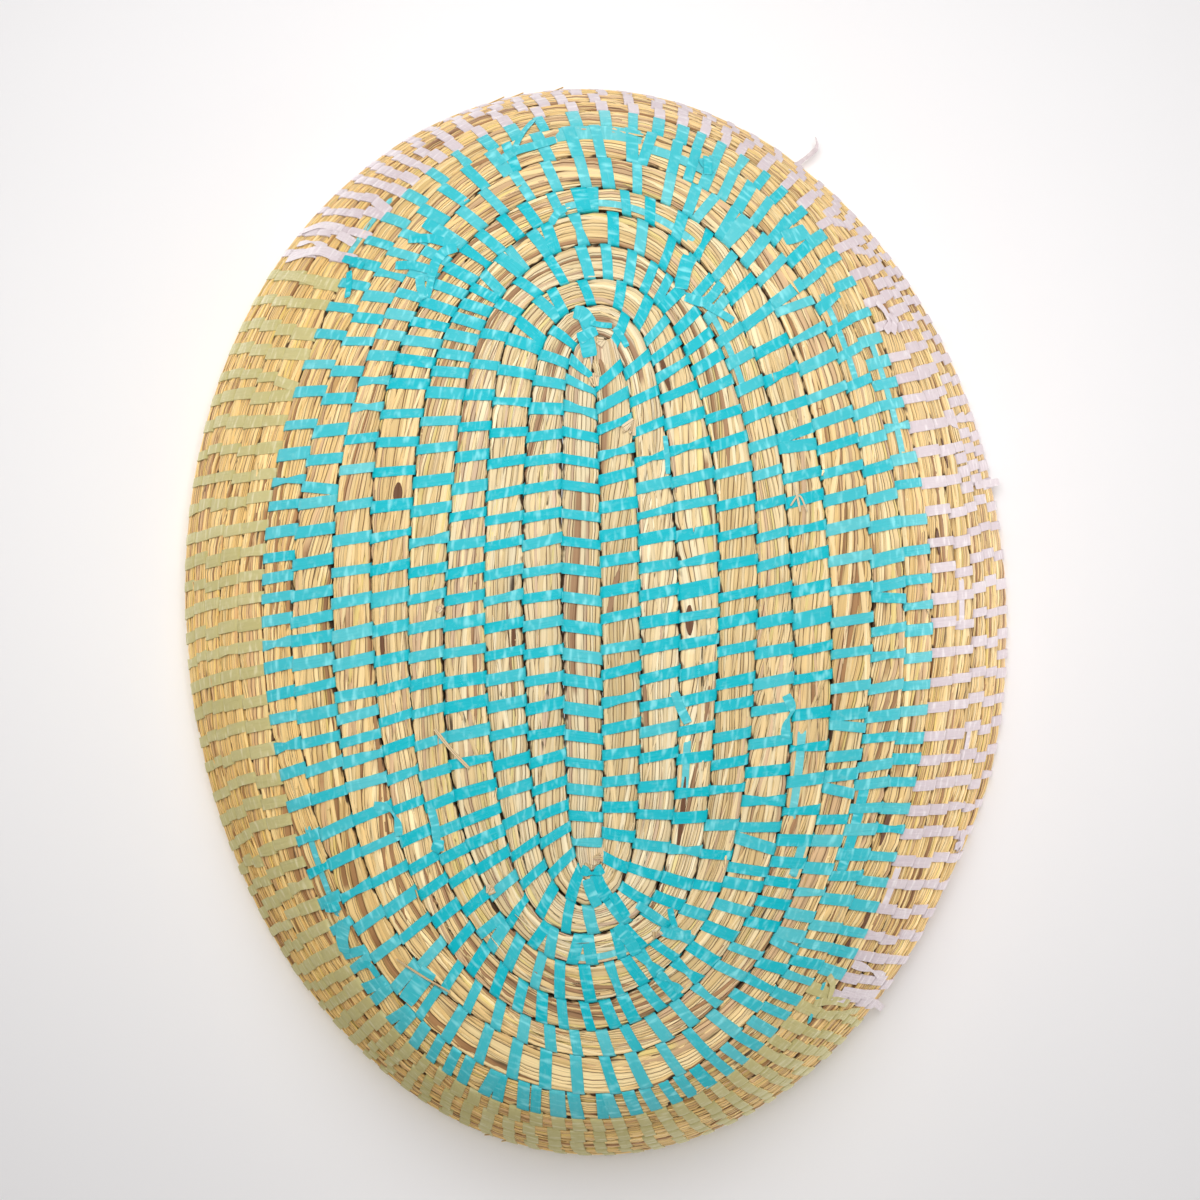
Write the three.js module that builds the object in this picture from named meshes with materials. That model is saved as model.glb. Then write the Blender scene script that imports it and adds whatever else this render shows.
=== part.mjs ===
// Oval coiled basket: a bundle of grass stems laid in one flat spiral for the base, then in a rising
// spiral for the flared wall, each row bound to the row inside it by a coloured strip.
// Millimetres, +Z up. The base rests on z = 0, the opening faces +Z and the long axis is X.
// The origin is on the underside, at the middle of the straight bundle that the coil starts from.

import * as THREE from "three";

// Driving dimensions, in millimetres unless the name says otherwise
const ROW_PITCH = 11; // from one row to the next along the sides, measured on the basket's surface
const BUNDLE_THICKNESS = 10; // of the grass bundle, through the base or the wall
const START_HALF_LENGTH = 70; // of the straight line that the rows of the base go round
const END_CROWDING = 0.78; // share of the row pitch that is left where the rows round the two ends
const BASE_HALF_WIDTH = 73.7; // from the middle of the base to the foot of the wall, across the sides
const SHOULDER_LENGTH = 24.2; // in which most of the turn from the base to the wall is made
const WALL_SLOPE_DEG = 65.5; // that the wall comes to above its shoulder, from the horizontal
const START_STRAIGHTNESS_RATIO = 2; // how straight the sides run: 3 is straight nearly to the ends
const RIM_STRAIGHTNESS_RATIO = 0.05; // and near 0 the row is an ellipse
const BULGE = 4; // how far hand coiling has left the rim outside its oval, beside one end
const BULGE_AT_DEG = 311;
const FLANK_BULGE = 2.9; // and at the middle of the other side
const FLANK_BULGE_AT_DEG = 98;
const SIDE_DENT = 3.4; // how far it has left the rim short of its oval, beside one end
const SIDE_DENT_AT_DEG = 222;
const END_DENT = 3.6; // and at the other end
const END_DENT_AT_DEG = 2;
const OUT_OF_ROUND_WIDTH_DEG = 40; // that each bulge and each dent reaches to either side

const BINDING_THICKNESS = 0.5; // of the bound strip, along the surface, in the groove between two rows
const BINDING_DEPTH = 5; // of the bound strip, through the wall
const CLEARANCE = 0.3; // between two pieces that lie against each other
const SEAM_GAP = BINDING_THICKNESS + 2 * CLEARANCE; // between two neighbouring rows

const SIDE_FLAT_SHARE = 0.44; // of the bundle's thickness that faces the next row
const CORNER_SHARE = 0.27; // of the bundle's width that each rounded corner takes

// Places along the spiral, as turns about +Z in degrees. 0 is the +X end and 90 is the +Y side.
const STATIONS_PER_TURN = 30;
const COIL_TIP_DEG = 15; // where the coil starts, beside the start bundle
const START_BUNDLE_FROM_DEG = -140; // the raw end of the start bundle, at the -X end
const START_BUNDLE_TO_DEG = -20;
const OLIVE_FROM_DEG = 137; // the two places round the wall where one colour of strip gives way
const LILAC_FROM_DEG = 311;
const BASE_TURNS = 6; // of the flat coil, up to the olive line
const SHOULDER_TURNS = 2; // of the coil above it, which turns from the base to the wall
const LOWER_WALL_TURNS = 2; // of the coil above the shoulder
const CYAN_TURNS = 8; // bound in cyan, up to the olive line
const WALL_COLOUR_TURNS = 5; // above them, each bound in olive and then in lilac
const TIP_TAPER_DEG = 14; // over which the start of the coil thickens
const RIM_TAPER_DEG = 30; // over which the end of the coil thins out along the rim
const LEAST_TAPER_SHARE = 0.3; // share of the bundle's width and thickness that is left at a tapered end

const FULL_TURN_DEG = 360;
const HALF_TURN_DEG = 180;
const CYAN_END_DEG = OLIVE_FROM_DEG + FULL_TURN_DEG * CYAN_TURNS;
const RIM_END_DEG = CYAN_END_DEG + FULL_TURN_DEG * WALL_COLOUR_TURNS;
const BASE_END_DEG = OLIVE_FROM_DEG + FULL_TURN_DEG * BASE_TURNS;
const SHOULDER_END_DEG = BASE_END_DEG + FULL_TURN_DEG * SHOULDER_TURNS;
const LOWER_WALL_END_DEG = SHOULDER_END_DEG + FULL_TURN_DEG * LOWER_WALL_TURNS;
const RIM_FROM_DEG = RIM_END_DEG - FULL_TURN_DEG;
const FLAT_ROWS = BASE_HALF_WIDTH / ROW_PITCH;
const SHOULDER_ROWS = SHOULDER_LENGTH / ROW_PITCH;

const radians = THREE.MathUtils.degToRad;

// The row that the middle of the coil lies on at a turn angle: it grows by one with each full turn.
function rowAt(turnDeg) {
  return 0.5 + turnDeg / FULL_TURN_DEG;
}

// How far out and how high the surface is at a row, by summing short steps up the wall's slope.
const PROFILE_STEP_ROWS = 0.05;
function profileAt(row) {
  const flat = Math.min(row, FLAT_ROWS);
  const profile = { outward: flat * ROW_PITCH, height: 0 };
  const steps = Math.ceil(Math.max(row - FLAT_ROWS, 0) / PROFILE_STEP_ROWS);
  const step = (row - flat) / Math.max(steps, 1);
  for (let i = 0; i < steps; i++) {
    const climbed = (i + 0.5) * step;
    const slope = radians(WALL_SLOPE_DEG) * (1 - Math.exp(-climbed / SHOULDER_ROWS));
    profile.outward += ROW_PITCH * step * Math.cos(slope);
    profile.height += ROW_PITCH * step * Math.sin(slope);
  }
  return profile;
}

// A bell shape about a place round the rim: 1 there, and near 0 well to either side of it.
function bellAt(turnDeg, placeDeg) {
  const turned = turnDeg - placeDeg + HALF_TURN_DEG;
  const away = THREE.MathUtils.euclideanModulo(turned, FULL_TURN_DEG) - HALF_TURN_DEG;
  return Math.exp(-((away / OUT_OF_ROUND_WIDTH_DEG) ** 2));
}

// How far the rim lies outside its oval at a turn angle, or inside it where that is negative.
function outOfRoundAt(turnDeg) {
  const bulges =
    BULGE * bellAt(turnDeg, BULGE_AT_DEG) + FLANK_BULGE * bellAt(turnDeg, FLANK_BULGE_AT_DEG);
  const dents =
    SIDE_DENT * bellAt(turnDeg, SIDE_DENT_AT_DEG) + END_DENT * bellAt(turnDeg, END_DENT_AT_DEG);
  return bulges - dents;
}

// The middle surface of the basket at a row and a turn angle. Each row is an oval: its sides run
// straight for a while, and more so near the middle of the base than at the rim.
const RIM_ROW = rowAt(RIM_END_DEG);
function surfaceAt(row, turnDeg) {
  const profile = profileAt(row);
  const toRim = row / RIM_ROW;
  const outward = profile.outward + toRim ** 2 * outOfRoundAt(turnDeg);
  const ratio = Math.min(toRim, 1);
  const straight = THREE.MathUtils.lerp(START_STRAIGHTNESS_RATIO, RIM_STRAIGHTNESS_RATIO, ratio);
  const along = Math.cos(radians(turnDeg));
  const halfLength = START_HALF_LENGTH - (1 - END_CROWDING) * outward;
  return new THREE.Vector3(
    (halfLength * Math.tanh(straight * along)) / Math.tanh(straight) + outward * along,
    ROW_PITCH / 4 + outward * Math.sin(radians(turnDeg)),
    BUNDLE_THICKNESS / 2 + profile.height,
  );
}

// The directions of the surface at a row and a turn angle: millimetres for one row outwards, millimetres
// for one degree along, the square distance to the next row, and the normal, which points up or inwards.
const SLOPE_STEP = 0.01;
function directionsAt(row, turnDeg) {
  const outwards = surfaceAt(row + SLOPE_STEP, turnDeg)
    .sub(surfaceAt(row - SLOPE_STEP, turnDeg))
    .divideScalar(2 * SLOPE_STEP);
  const along = surfaceAt(row, turnDeg + SLOPE_STEP)
    .sub(surfaceAt(row, turnDeg - SLOPE_STEP))
    .divideScalar(2 * SLOPE_STEP);
  const normal = outwards.clone().cross(along);
  const rowSpacing = normal.length() / along.length();
  return { along, rowSpacing, normal: normal.normalize() };
}

// A groove between two rows at a turn angle: gives points a stated distance out from the groove and up
// from the middle surface.
function grooveAt(row, turnDeg) {
  const { rowSpacing, normal } = directionsAt(row, turnDeg);
  return (out, up) =>
    surfaceAt(row + out / rowSpacing, turnDeg).addScaledVector(normal, up);
}

// The eight corners of the bundle between two grooves, in order round its section: flats face the two
// neighbouring rows and the two faces of the basket, with a corner cut between each pair.
function bundleSection(innerGroove, outerGroove, widthShare, thicknessShare) {
  const top = (BUNDLE_THICKNESS / 2) * thicknessShare;
  const side = top * SIDE_FLAT_SHARE;
  const across = (share, up) =>
    innerGroove(SEAM_GAP / 2, up).lerp(outerGroove(-SEAM_GAP / 2, up), share * widthShare);
  return [
    across(0, -side),
    across(CORNER_SHARE, -top),
    across(1 - CORNER_SHARE, -top),
    across(1, -side),
    across(1, side),
    across(1 - CORNER_SHARE, top),
    across(CORNER_SHARE, top),
    across(0, side),
  ];
}

// How much of the coil's section is left at a turn angle: all of it, apart from its two tapered ends.
function taperAt(turnDeg) {
  const grown = (turnDeg - COIL_TIP_DEG) / TIP_TAPER_DEG;
  const left = (RIM_END_DEG - turnDeg) / RIM_TAPER_DEG;
  const share = THREE.MathUtils.clamp(Math.min(grown, left), 0, 1);
  return { grown: THREE.MathUtils.clamp(grown, 0, 1), share };
}

// The coil's section at a turn angle. Its start keeps its width and thins, and its end narrows too.
function coilSection(turnDeg) {
  const row = rowAt(turnDeg);
  const { grown, share } = taperAt(turnDeg);
  const thickness = THREE.MathUtils.lerp(LEAST_TAPER_SHARE, 1, share);
  const width = grown < 1 ? 1 : thickness;
  const inner = grooveAt(row - 0.5, turnDeg);
  const outer = grooveAt(row + 0.5, turnDeg);
  return bundleSection(inner, outer, width, thickness);
}

// The start bundle lies between the first run of the coil, on its +Y side, and the coil's return. Both of
// its sides follow the coil's own grooves, so that it fills the slot.
function startSection(turnDeg) {
  const inner = grooveAt(rowAt(-turnDeg) - 0.5, -turnDeg);
  const outer = grooveAt(rowAt(turnDeg) + 0.5, turnDeg);
  return bundleSection((out, up) => inner(-out, up), outer, 1, 1);
}

// The bound strip's section at a turn angle: a flat band in the groove on the inner side of the coil.
function bindingSection(turnDeg) {
  const groove = grooveAt(rowAt(turnDeg) - 0.5, turnDeg);
  const out = BINDING_THICKNESS / 2;
  const up = BINDING_DEPTH / 2;
  return [groove(-out, -up), groove(out, -up), groove(out, up), groove(-out, up)];
}

// The turn angles of a run. Every row has its stations at the same angles, so that the facets of
// neighbouring rows lie side by side, and the station nearest a change of colour moves onto it.
function stationsBetween(fromDeg, toDeg) {
  const step = FULL_TURN_DEG / STATIONS_PER_TURN;
  const stations = [fromDeg];
  for (let i = Math.ceil(fromDeg / step); i * step < toDeg; i++) {
    const turn = Math.floor((i * step) / FULL_TURN_DEG) * FULL_TURN_DEG;
    const change = [OLIVE_FROM_DEG + turn, LILAC_FROM_DEG + turn].find(
      (deg) => Math.abs(deg - i * step) <= step / 2,
    );
    const station = change ?? i * step;
    const clear = step / 4;
    if (station > fromDeg + clear && station < toDeg - clear) stations.push(station);
  }
  stations.push(toDeg);
  return stations;
}

// A turn angle moved along the coil by a distance, for the gap between two lengths that meet end to end.
function movedAlong(turnDeg, distance) {
  return turnDeg + distance / directionsAt(rowAt(turnDeg), turnDeg).along.length();
}

// A closed solid that carries a section along a run of stations and caps both ends.
function sweep(sectionAt, stations) {
  const rings = stations.map(sectionAt);
  const corners = rings[0].length;
  const positions = rings.flat().flatMap((point) => point.toArray());
  const triangles = [];
  for (let ring = 0; ring + 1 < rings.length; ring++) {
    for (let corner = 0; corner < corners; corner++) {
      const near = ring * corners;
      const far = near + corners;
      const next = (corner + 1) % corners;
      triangles.push(near + corner, far + next, near + next);
      triangles.push(near + corner, far + corner, far + next);
    }
  }
  const last = (rings.length - 1) * corners;
  for (let corner = 1; corner + 1 < corners; corner++) {
    triangles.push(0, corner, corner + 1);
    triangles.push(last, last + corner + 1, last + corner);
  }
  const geometry = new THREE.BufferGeometry();
  geometry.setAttribute("position", new THREE.Float32BufferAttribute(positions, 3));
  geometry.setIndex(triangles);
  geometry.computeVertexNormals();
  return geometry;
}

// The least distance between points of the coil one turn apart, measured across the groove.
function leastSelfGap() {
  const facing = [0, 7];
  const opposite = [3, 4];
  let least = Infinity;
  for (const turnDeg of stationsBetween(COIL_TIP_DEG, RIM_END_DEG - FULL_TURN_DEG)) {
    const inside = coilSection(turnDeg);
    const outside = coilSection(turnDeg + FULL_TURN_DEG);
    for (const a of opposite) {
      for (const b of facing) least = Math.min(least, inside[a].distanceTo(outside[b]));
    }
  }
  return least;
}

const grass = new THREE.MeshStandardMaterial({ color: 0xd8bd86, roughness: 0.75, metalness: 0 });
const cyanStrip = new THREE.MeshStandardMaterial({ color: 0x1ecdd7, roughness: 0.45, metalness: 0 });
const oliveStrip = new THREE.MeshStandardMaterial({ color: 0xc3b776, roughness: 0.4, metalness: 0 });
const lilacStrip = new THREE.MeshStandardMaterial({ color: 0xe4d6de, roughness: 0.45, metalness: 0 });

const basket = new THREE.Group();

function addLength(name, material, sectionAt, fromDeg, toDeg) {
  const half = CLEARANCE / 2;
  const stations = stationsBetween(movedAlong(fromDeg, half), movedAlong(toDeg, -half));
  const mesh = new THREE.Mesh(sweep(sectionAt, stations), material);
  mesh.name = name;
  basket.add(mesh);
}

// The grass: a straight start, then five lengths of the one spiral, which meet end to end
addLength("start_bundle", grass, startSection, START_BUNDLE_FROM_DEG, START_BUNDLE_TO_DEG);
addLength("base_coil", grass, coilSection, COIL_TIP_DEG, BASE_END_DEG);
addLength("shoulder_coil", grass, coilSection, BASE_END_DEG, SHOULDER_END_DEG);
addLength("lower_wall_coil", grass, coilSection, SHOULDER_END_DEG, LOWER_WALL_END_DEG);
addLength("upper_wall_coil", grass, coilSection, LOWER_WALL_END_DEG, RIM_FROM_DEG);
addLength("rim_coil", grass, coilSection, RIM_FROM_DEG, RIM_END_DEG);

// The bound strips: cyan from the start of the coil, then olive and lilac in turn round the wall
for (let turn = 1; turn <= CYAN_TURNS; turn++) {
  const toDeg = OLIVE_FROM_DEG + FULL_TURN_DEG * turn;
  const fromDeg = turn === 1 ? COIL_TIP_DEG : toDeg - FULL_TURN_DEG;
  addLength(`cyan_binding_${turn}`, cyanStrip, bindingSection, fromDeg, toDeg);
}
for (let turn = 1; turn <= WALL_COLOUR_TURNS; turn++) {
  const fromDeg = CYAN_END_DEG + FULL_TURN_DEG * (turn - 1);
  const changeDeg = fromDeg + LILAC_FROM_DEG - OLIVE_FROM_DEG;
  addLength(`olive_binding_${turn}`, oliveStrip, bindingSection, fromDeg, changeDeg);
  addLength(`lilac_binding_${turn}`, lilacStrip, bindingSection, changeDeg, fromDeg + FULL_TURN_DEG);
}

console.log(`least gap of the coil to itself: ${leastSelfGap().toFixed(2)} mm`);

export default basket;
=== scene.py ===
"""Looks of an oval coiled basket: grass rows, the strip stitches that bind them, and a plain stage.

Everything is in metres in the part's own frame: the base rests on z = 0, the opening faces +Z and the
long axis is X. The camera looks at the underside of the base, from below.
"""

import logging
import math
from dataclasses import dataclass, field, replace
from enum import Enum

import bpy
import numpy as np
from mathutils import Matrix


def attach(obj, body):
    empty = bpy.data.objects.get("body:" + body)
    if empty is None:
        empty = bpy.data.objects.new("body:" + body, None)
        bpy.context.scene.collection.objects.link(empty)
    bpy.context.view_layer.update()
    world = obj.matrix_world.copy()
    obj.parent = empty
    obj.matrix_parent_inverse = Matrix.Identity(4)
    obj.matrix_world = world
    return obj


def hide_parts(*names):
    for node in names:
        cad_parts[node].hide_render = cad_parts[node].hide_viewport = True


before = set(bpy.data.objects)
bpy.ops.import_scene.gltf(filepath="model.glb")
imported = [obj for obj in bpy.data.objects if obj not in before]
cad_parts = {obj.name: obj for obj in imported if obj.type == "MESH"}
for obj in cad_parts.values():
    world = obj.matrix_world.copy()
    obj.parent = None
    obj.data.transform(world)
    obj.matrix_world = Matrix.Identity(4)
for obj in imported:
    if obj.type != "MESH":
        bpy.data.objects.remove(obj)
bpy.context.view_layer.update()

LOG = logging.getLogger("basket")
FULL_TURN = 360.0
# The share round a bundle's section that faces straight out of the basket.
OUTSIDE = 0.75
STRIP_HALF_MM = 1.65
MM_A_METRE = 1000
# How far apart the markings of two pieces may be set, so that no two look alike.
MARKINGS = 900
WAVE_SHARES = (0.37, 0.61, 1.0, 1.73, 2.9)
WAVE_SPREAD = (0.8, 1.25)

Array = np.ndarray
Arrays = tuple[Array, Array]
Rng = np.random.Generator
Material = bpy.types.Material
Values = tuple[float, ...]
Socket = bpy.types.NodeSocket
Pair = tuple[float, float]
Triple = tuple[float, float, float]
Colour = tuple[float, float, float, float]
# A change of a value: from where to where it goes, and what it starts and ends at.
Ramp = tuple[float, float, float, float]


class StripColour(Enum):
    """The three colours of binding strip, each named as its finish in the record."""

    CYAN = "cyan_strip"
    OLIVE = "olive_strip"
    LILAC = "lilac_strip"


# The shared form


def unit(vectors: Array) -> Array:
    """Vectors of the same directions with a length of one."""
    return vectors / np.linalg.norm(vectors, axis=-1, keepdims=True)


def run_lengths(points: Array) -> Array:
    """The length along a path up to each of its points, of shape (n, 3)."""
    return np.concatenate([[0], np.cumsum(np.linalg.norm(np.diff(points, axis=0), axis=1))])


def pose(right: Array, top: Array, back: Array, stand: Array) -> Matrix:
    """The matrix of an object from its three axes and the place where it stands."""
    columns = np.stack([right, top, back, stand], axis=1)
    return Matrix([*columns.tolist(), (0.0, 0.0, 0.0, 1.0)])


def uv_grid(across: Array, along: Array) -> Array:
    """UV places, with a last axis of two, from values across and along that spread over each other."""
    return np.stack(np.broadcast_arrays(across, along), axis=-1)


def waves(rng: Rng, along: Array, count: int, length: float) -> Array:
    """Smooth random curves along the coil: a sum of sines of random phase, of wavelengths near a length.

    Args:
        rng: The seeded source of the phases.
        along: Distances along the coil, of shape (n,).
        count: How many curves to make.
        length: The middle wavelength, in metres.

    Returns:
        Values of about -1 to 1, of shape (n, count).
    """
    shares = np.array(WAVE_SHARES)
    phases = rng.uniform(0, 2 * np.pi, (count, shares.size))
    lengths = length * shares * rng.uniform(*WAVE_SPREAD, (count, shares.size))
    angles = 2 * np.pi * along[:, None, None] / lengths + phases
    return np.sin(angles).sum(axis=2) / math.sqrt(shares.size)


@dataclass(frozen=True)
class BasketForm:
    """The middle surface of the basket, with the sizes of its solids and two tucks, in metres.

    A point is named by its row, which counts outwards from the middle of the base and on up the wall, and
    by its turn angle in degrees. The coil's middle gains one row with each full turn.
    """

    row_pitch: float = 0.011
    thickness: float = 0.010
    start_half_length: float = 0.070
    end_crowding: float = 0.78
    base_half_width: float = 0.0737
    shoulder_length: float = 0.0242
    wall_slope_deg: float = 65.5
    start_straightness: float = 2.0
    rim_straightness: float = 0.05
    bulge: float = 0.004
    bulge_at_deg: float = 311.0
    flank_bulge: float = 0.0029
    flank_bulge_at_deg: float = 98.0
    side_dent: float = 0.0034
    side_dent_at_deg: float = 222.0
    end_dent: float = 0.0036
    end_dent_at_deg: float = 2.0
    out_of_round_width_deg: float = 40.0
    tuck: float = 0.0036
    tucks_at_deg: Pair = (112.0, 303.0)
    tuck_at_share: float = 0.62
    tuck_share_width: float = 0.14
    tip_deg: float = 15.0
    # How much of the coil holds no loose stems, at its tip and at its end.
    tidy_tip_deg: float = 10.0
    tidy_end_deg: float = 80.0
    olive_from_deg: float = 137.0
    lilac_from_deg: float = 311.0
    base_turns: int = 6
    cyan_turns: int = 8
    wall_colour_turns: int = 5
    profile_reach: float = 0.2
    profile_steps: int = 4001
    small_step: float = 0.01

    @property
    def base_end_deg(self) -> float:
        """The turn angle where the coil leaves the base."""
        return self.olive_from_deg + FULL_TURN * self.base_turns

    @property
    def cyan_end_deg(self) -> float:
        """The turn angle where the cyan strip ends."""
        return self.olive_from_deg + FULL_TURN * self.cyan_turns

    @property
    def end_deg(self) -> float:
        """The turn angle where the coil ends on the rim."""
        return self.cyan_end_deg + FULL_TURN * self.wall_colour_turns

    def row_at(self, turn: Array) -> Array:
        """The row of the coil's middle at a turn angle: a half, plus one for each full turn."""
        return 0.5 + np.asarray(turn) / FULL_TURN

    def profile(self, row: Array) -> Arrays:
        """How far out and how high a row is, by summing short steps up the wall's slope.

        The slope is zero on the base, and above it closes in on the wall's slope exponentially.

        Args:
            row: Rows, of any shape.

        Returns:
            The outward distance and the height, each of the shape of row.
        """
        length = np.linspace(0, self.profile_reach, self.profile_steps)
        climbed = np.maximum(length - self.base_half_width, 0)
        slope = np.radians(self.wall_slope_deg) * (1 - np.exp(-climbed / self.shoulder_length))
        between = slope[:-1] + np.diff(slope) / 2
        step = length[1] - length[0]
        outward = np.concatenate([[0], np.cumsum(np.cos(between))]) * step
        height = np.concatenate([[0], np.cumsum(np.sin(between))]) * step
        reach = np.asarray(row) * self.row_pitch
        return np.interp(reach, length, outward), np.interp(reach, length, height)

    def bell(self, turn: Array, at_deg: float) -> Array:
        """A bell shape of height one: the exponential of minus the square of the way from its middle."""
        away = np.mod(turn - at_deg + FULL_TURN / 2, FULL_TURN) - FULL_TURN / 2
        return np.exp(-((away / self.out_of_round_width_deg) ** 2))

    def out_of_round(self, to_rim: Array, turn: Array) -> Array:
        """How far the wall lies outside its even ovals, as a sum of bell shapes.

        The bulges grow by the fourth power of the way out to the rim and the dents by its square. The
        tucks are a second bell along the way out.

        Args:
            to_rim: Shares of the way out to the rim.
            turn: Turn angles, of the same shape.

        Returns:
            Distances in metres, of the same shape.
        """
        bulges = self.bulge * self.bell(turn, self.bulge_at_deg)
        bulges = bulges + self.flank_bulge * self.bell(turn, self.flank_bulge_at_deg)
        dents = self.side_dent * self.bell(turn, self.side_dent_at_deg)
        dents = dents + self.end_dent * self.bell(turn, self.end_dent_at_deg)
        tucks = self.tuck * sum(self.bell(turn, at_deg) for at_deg in self.tucks_at_deg)
        tucks = tucks * np.exp(-(((to_rim - self.tuck_at_share) / self.tuck_share_width) ** 2))
        return to_rim**4 * bulges - to_rim**2 * dents - tucks

    def surface(self, row: Array, turn: Array) -> Array:
        """Points of the middle surface: ovals whose sides run straighter near the middle of the base.

        Args:
            row: Rows.
            turn: Turn angles, of the same shape.

        Returns:
            Points, with a last axis of three.
        """
        row, turn = np.broadcast_arrays(np.asarray(row, float), np.asarray(turn, float))
        outward, height = self.profile(row)
        to_rim = row / float(self.row_at(self.end_deg))
        outward = outward + self.out_of_round(to_rim, turn)
        share = np.minimum(to_rim, 1)
        straight = self.start_straightness + (self.rim_straightness - self.start_straightness) * share
        cosine = np.cos(np.radians(turn))
        half = self.start_half_length - (1 - self.end_crowding) * outward
        x = half * np.tanh(straight * cosine) / np.tanh(straight) + outward * cosine
        y = self.row_pitch / 4 + outward * np.sin(np.radians(turn))
        return np.stack([x, y, self.thickness / 2 + height], axis=-1)

    def slopes(self, row: Array, turn: Array) -> Arrays:
        """The surface's normal, up or inwards, and its step along a degree, by small differences.

        Args:
            row: Rows.
            turn: Turn angles, of the same shape.

        Returns:
            Unit normals and steps in metres a degree, each with a last axis of three.
        """
        small = self.small_step
        outwards = self.surface(np.add(row, small), turn) - self.surface(np.subtract(row, small), turn)
        along = self.surface(row, np.add(turn, small)) - self.surface(row, np.subtract(turn, small))
        return unit(np.cross(outwards, along)), along / (2 * small)


@dataclass(frozen=True)
class PictureView:
    """The view of the base from below: a pinhole camera, whose places are in pixels of the whole frame."""

    distance: float = 0.420
    tilt_long: float = 0.0246
    tilt_cross: float = -0.0014
    focal_px: float = 1490.0
    frame_px: float = 1200.0
    middle_px: Pair = (581.7, 611.4)

    def axes(self) -> tuple[Array, Array, Array]:
        """The directions of the picture's right, of its top and of the view, from the two small tilts.

        Returns:
            Three unit vectors.
        """
        cos_long, sin_long = math.cos(self.tilt_long), math.sin(self.tilt_long)
        cos_cross, sin_cross = math.cos(self.tilt_cross), math.sin(self.tilt_cross)
        right = np.array([-sin_cross * sin_long, cos_cross, -sin_cross * cos_long])
        top = np.array([cos_long, 0.0, -sin_long])
        forward = np.array([cos_cross * sin_long, sin_cross, cos_cross * cos_long])
        return right, top, forward

    def project(self, points: Array) -> Array:
        """Where points show in the picture: their shares along its axes over their depth.

        Args:
            points: Points, with a last axis of three.

        Returns:
            Places in pixels, with a last axis of two, counted right and down.
        """
        right, top, forward = self.axes()
        scale = self.focal_px / (self.distance + points @ forward)
        across = self.middle_px[0] + scale * (points @ right)
        down = self.middle_px[1] - scale * (points @ top)
        return np.stack([across, down], axis=-1)


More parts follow.
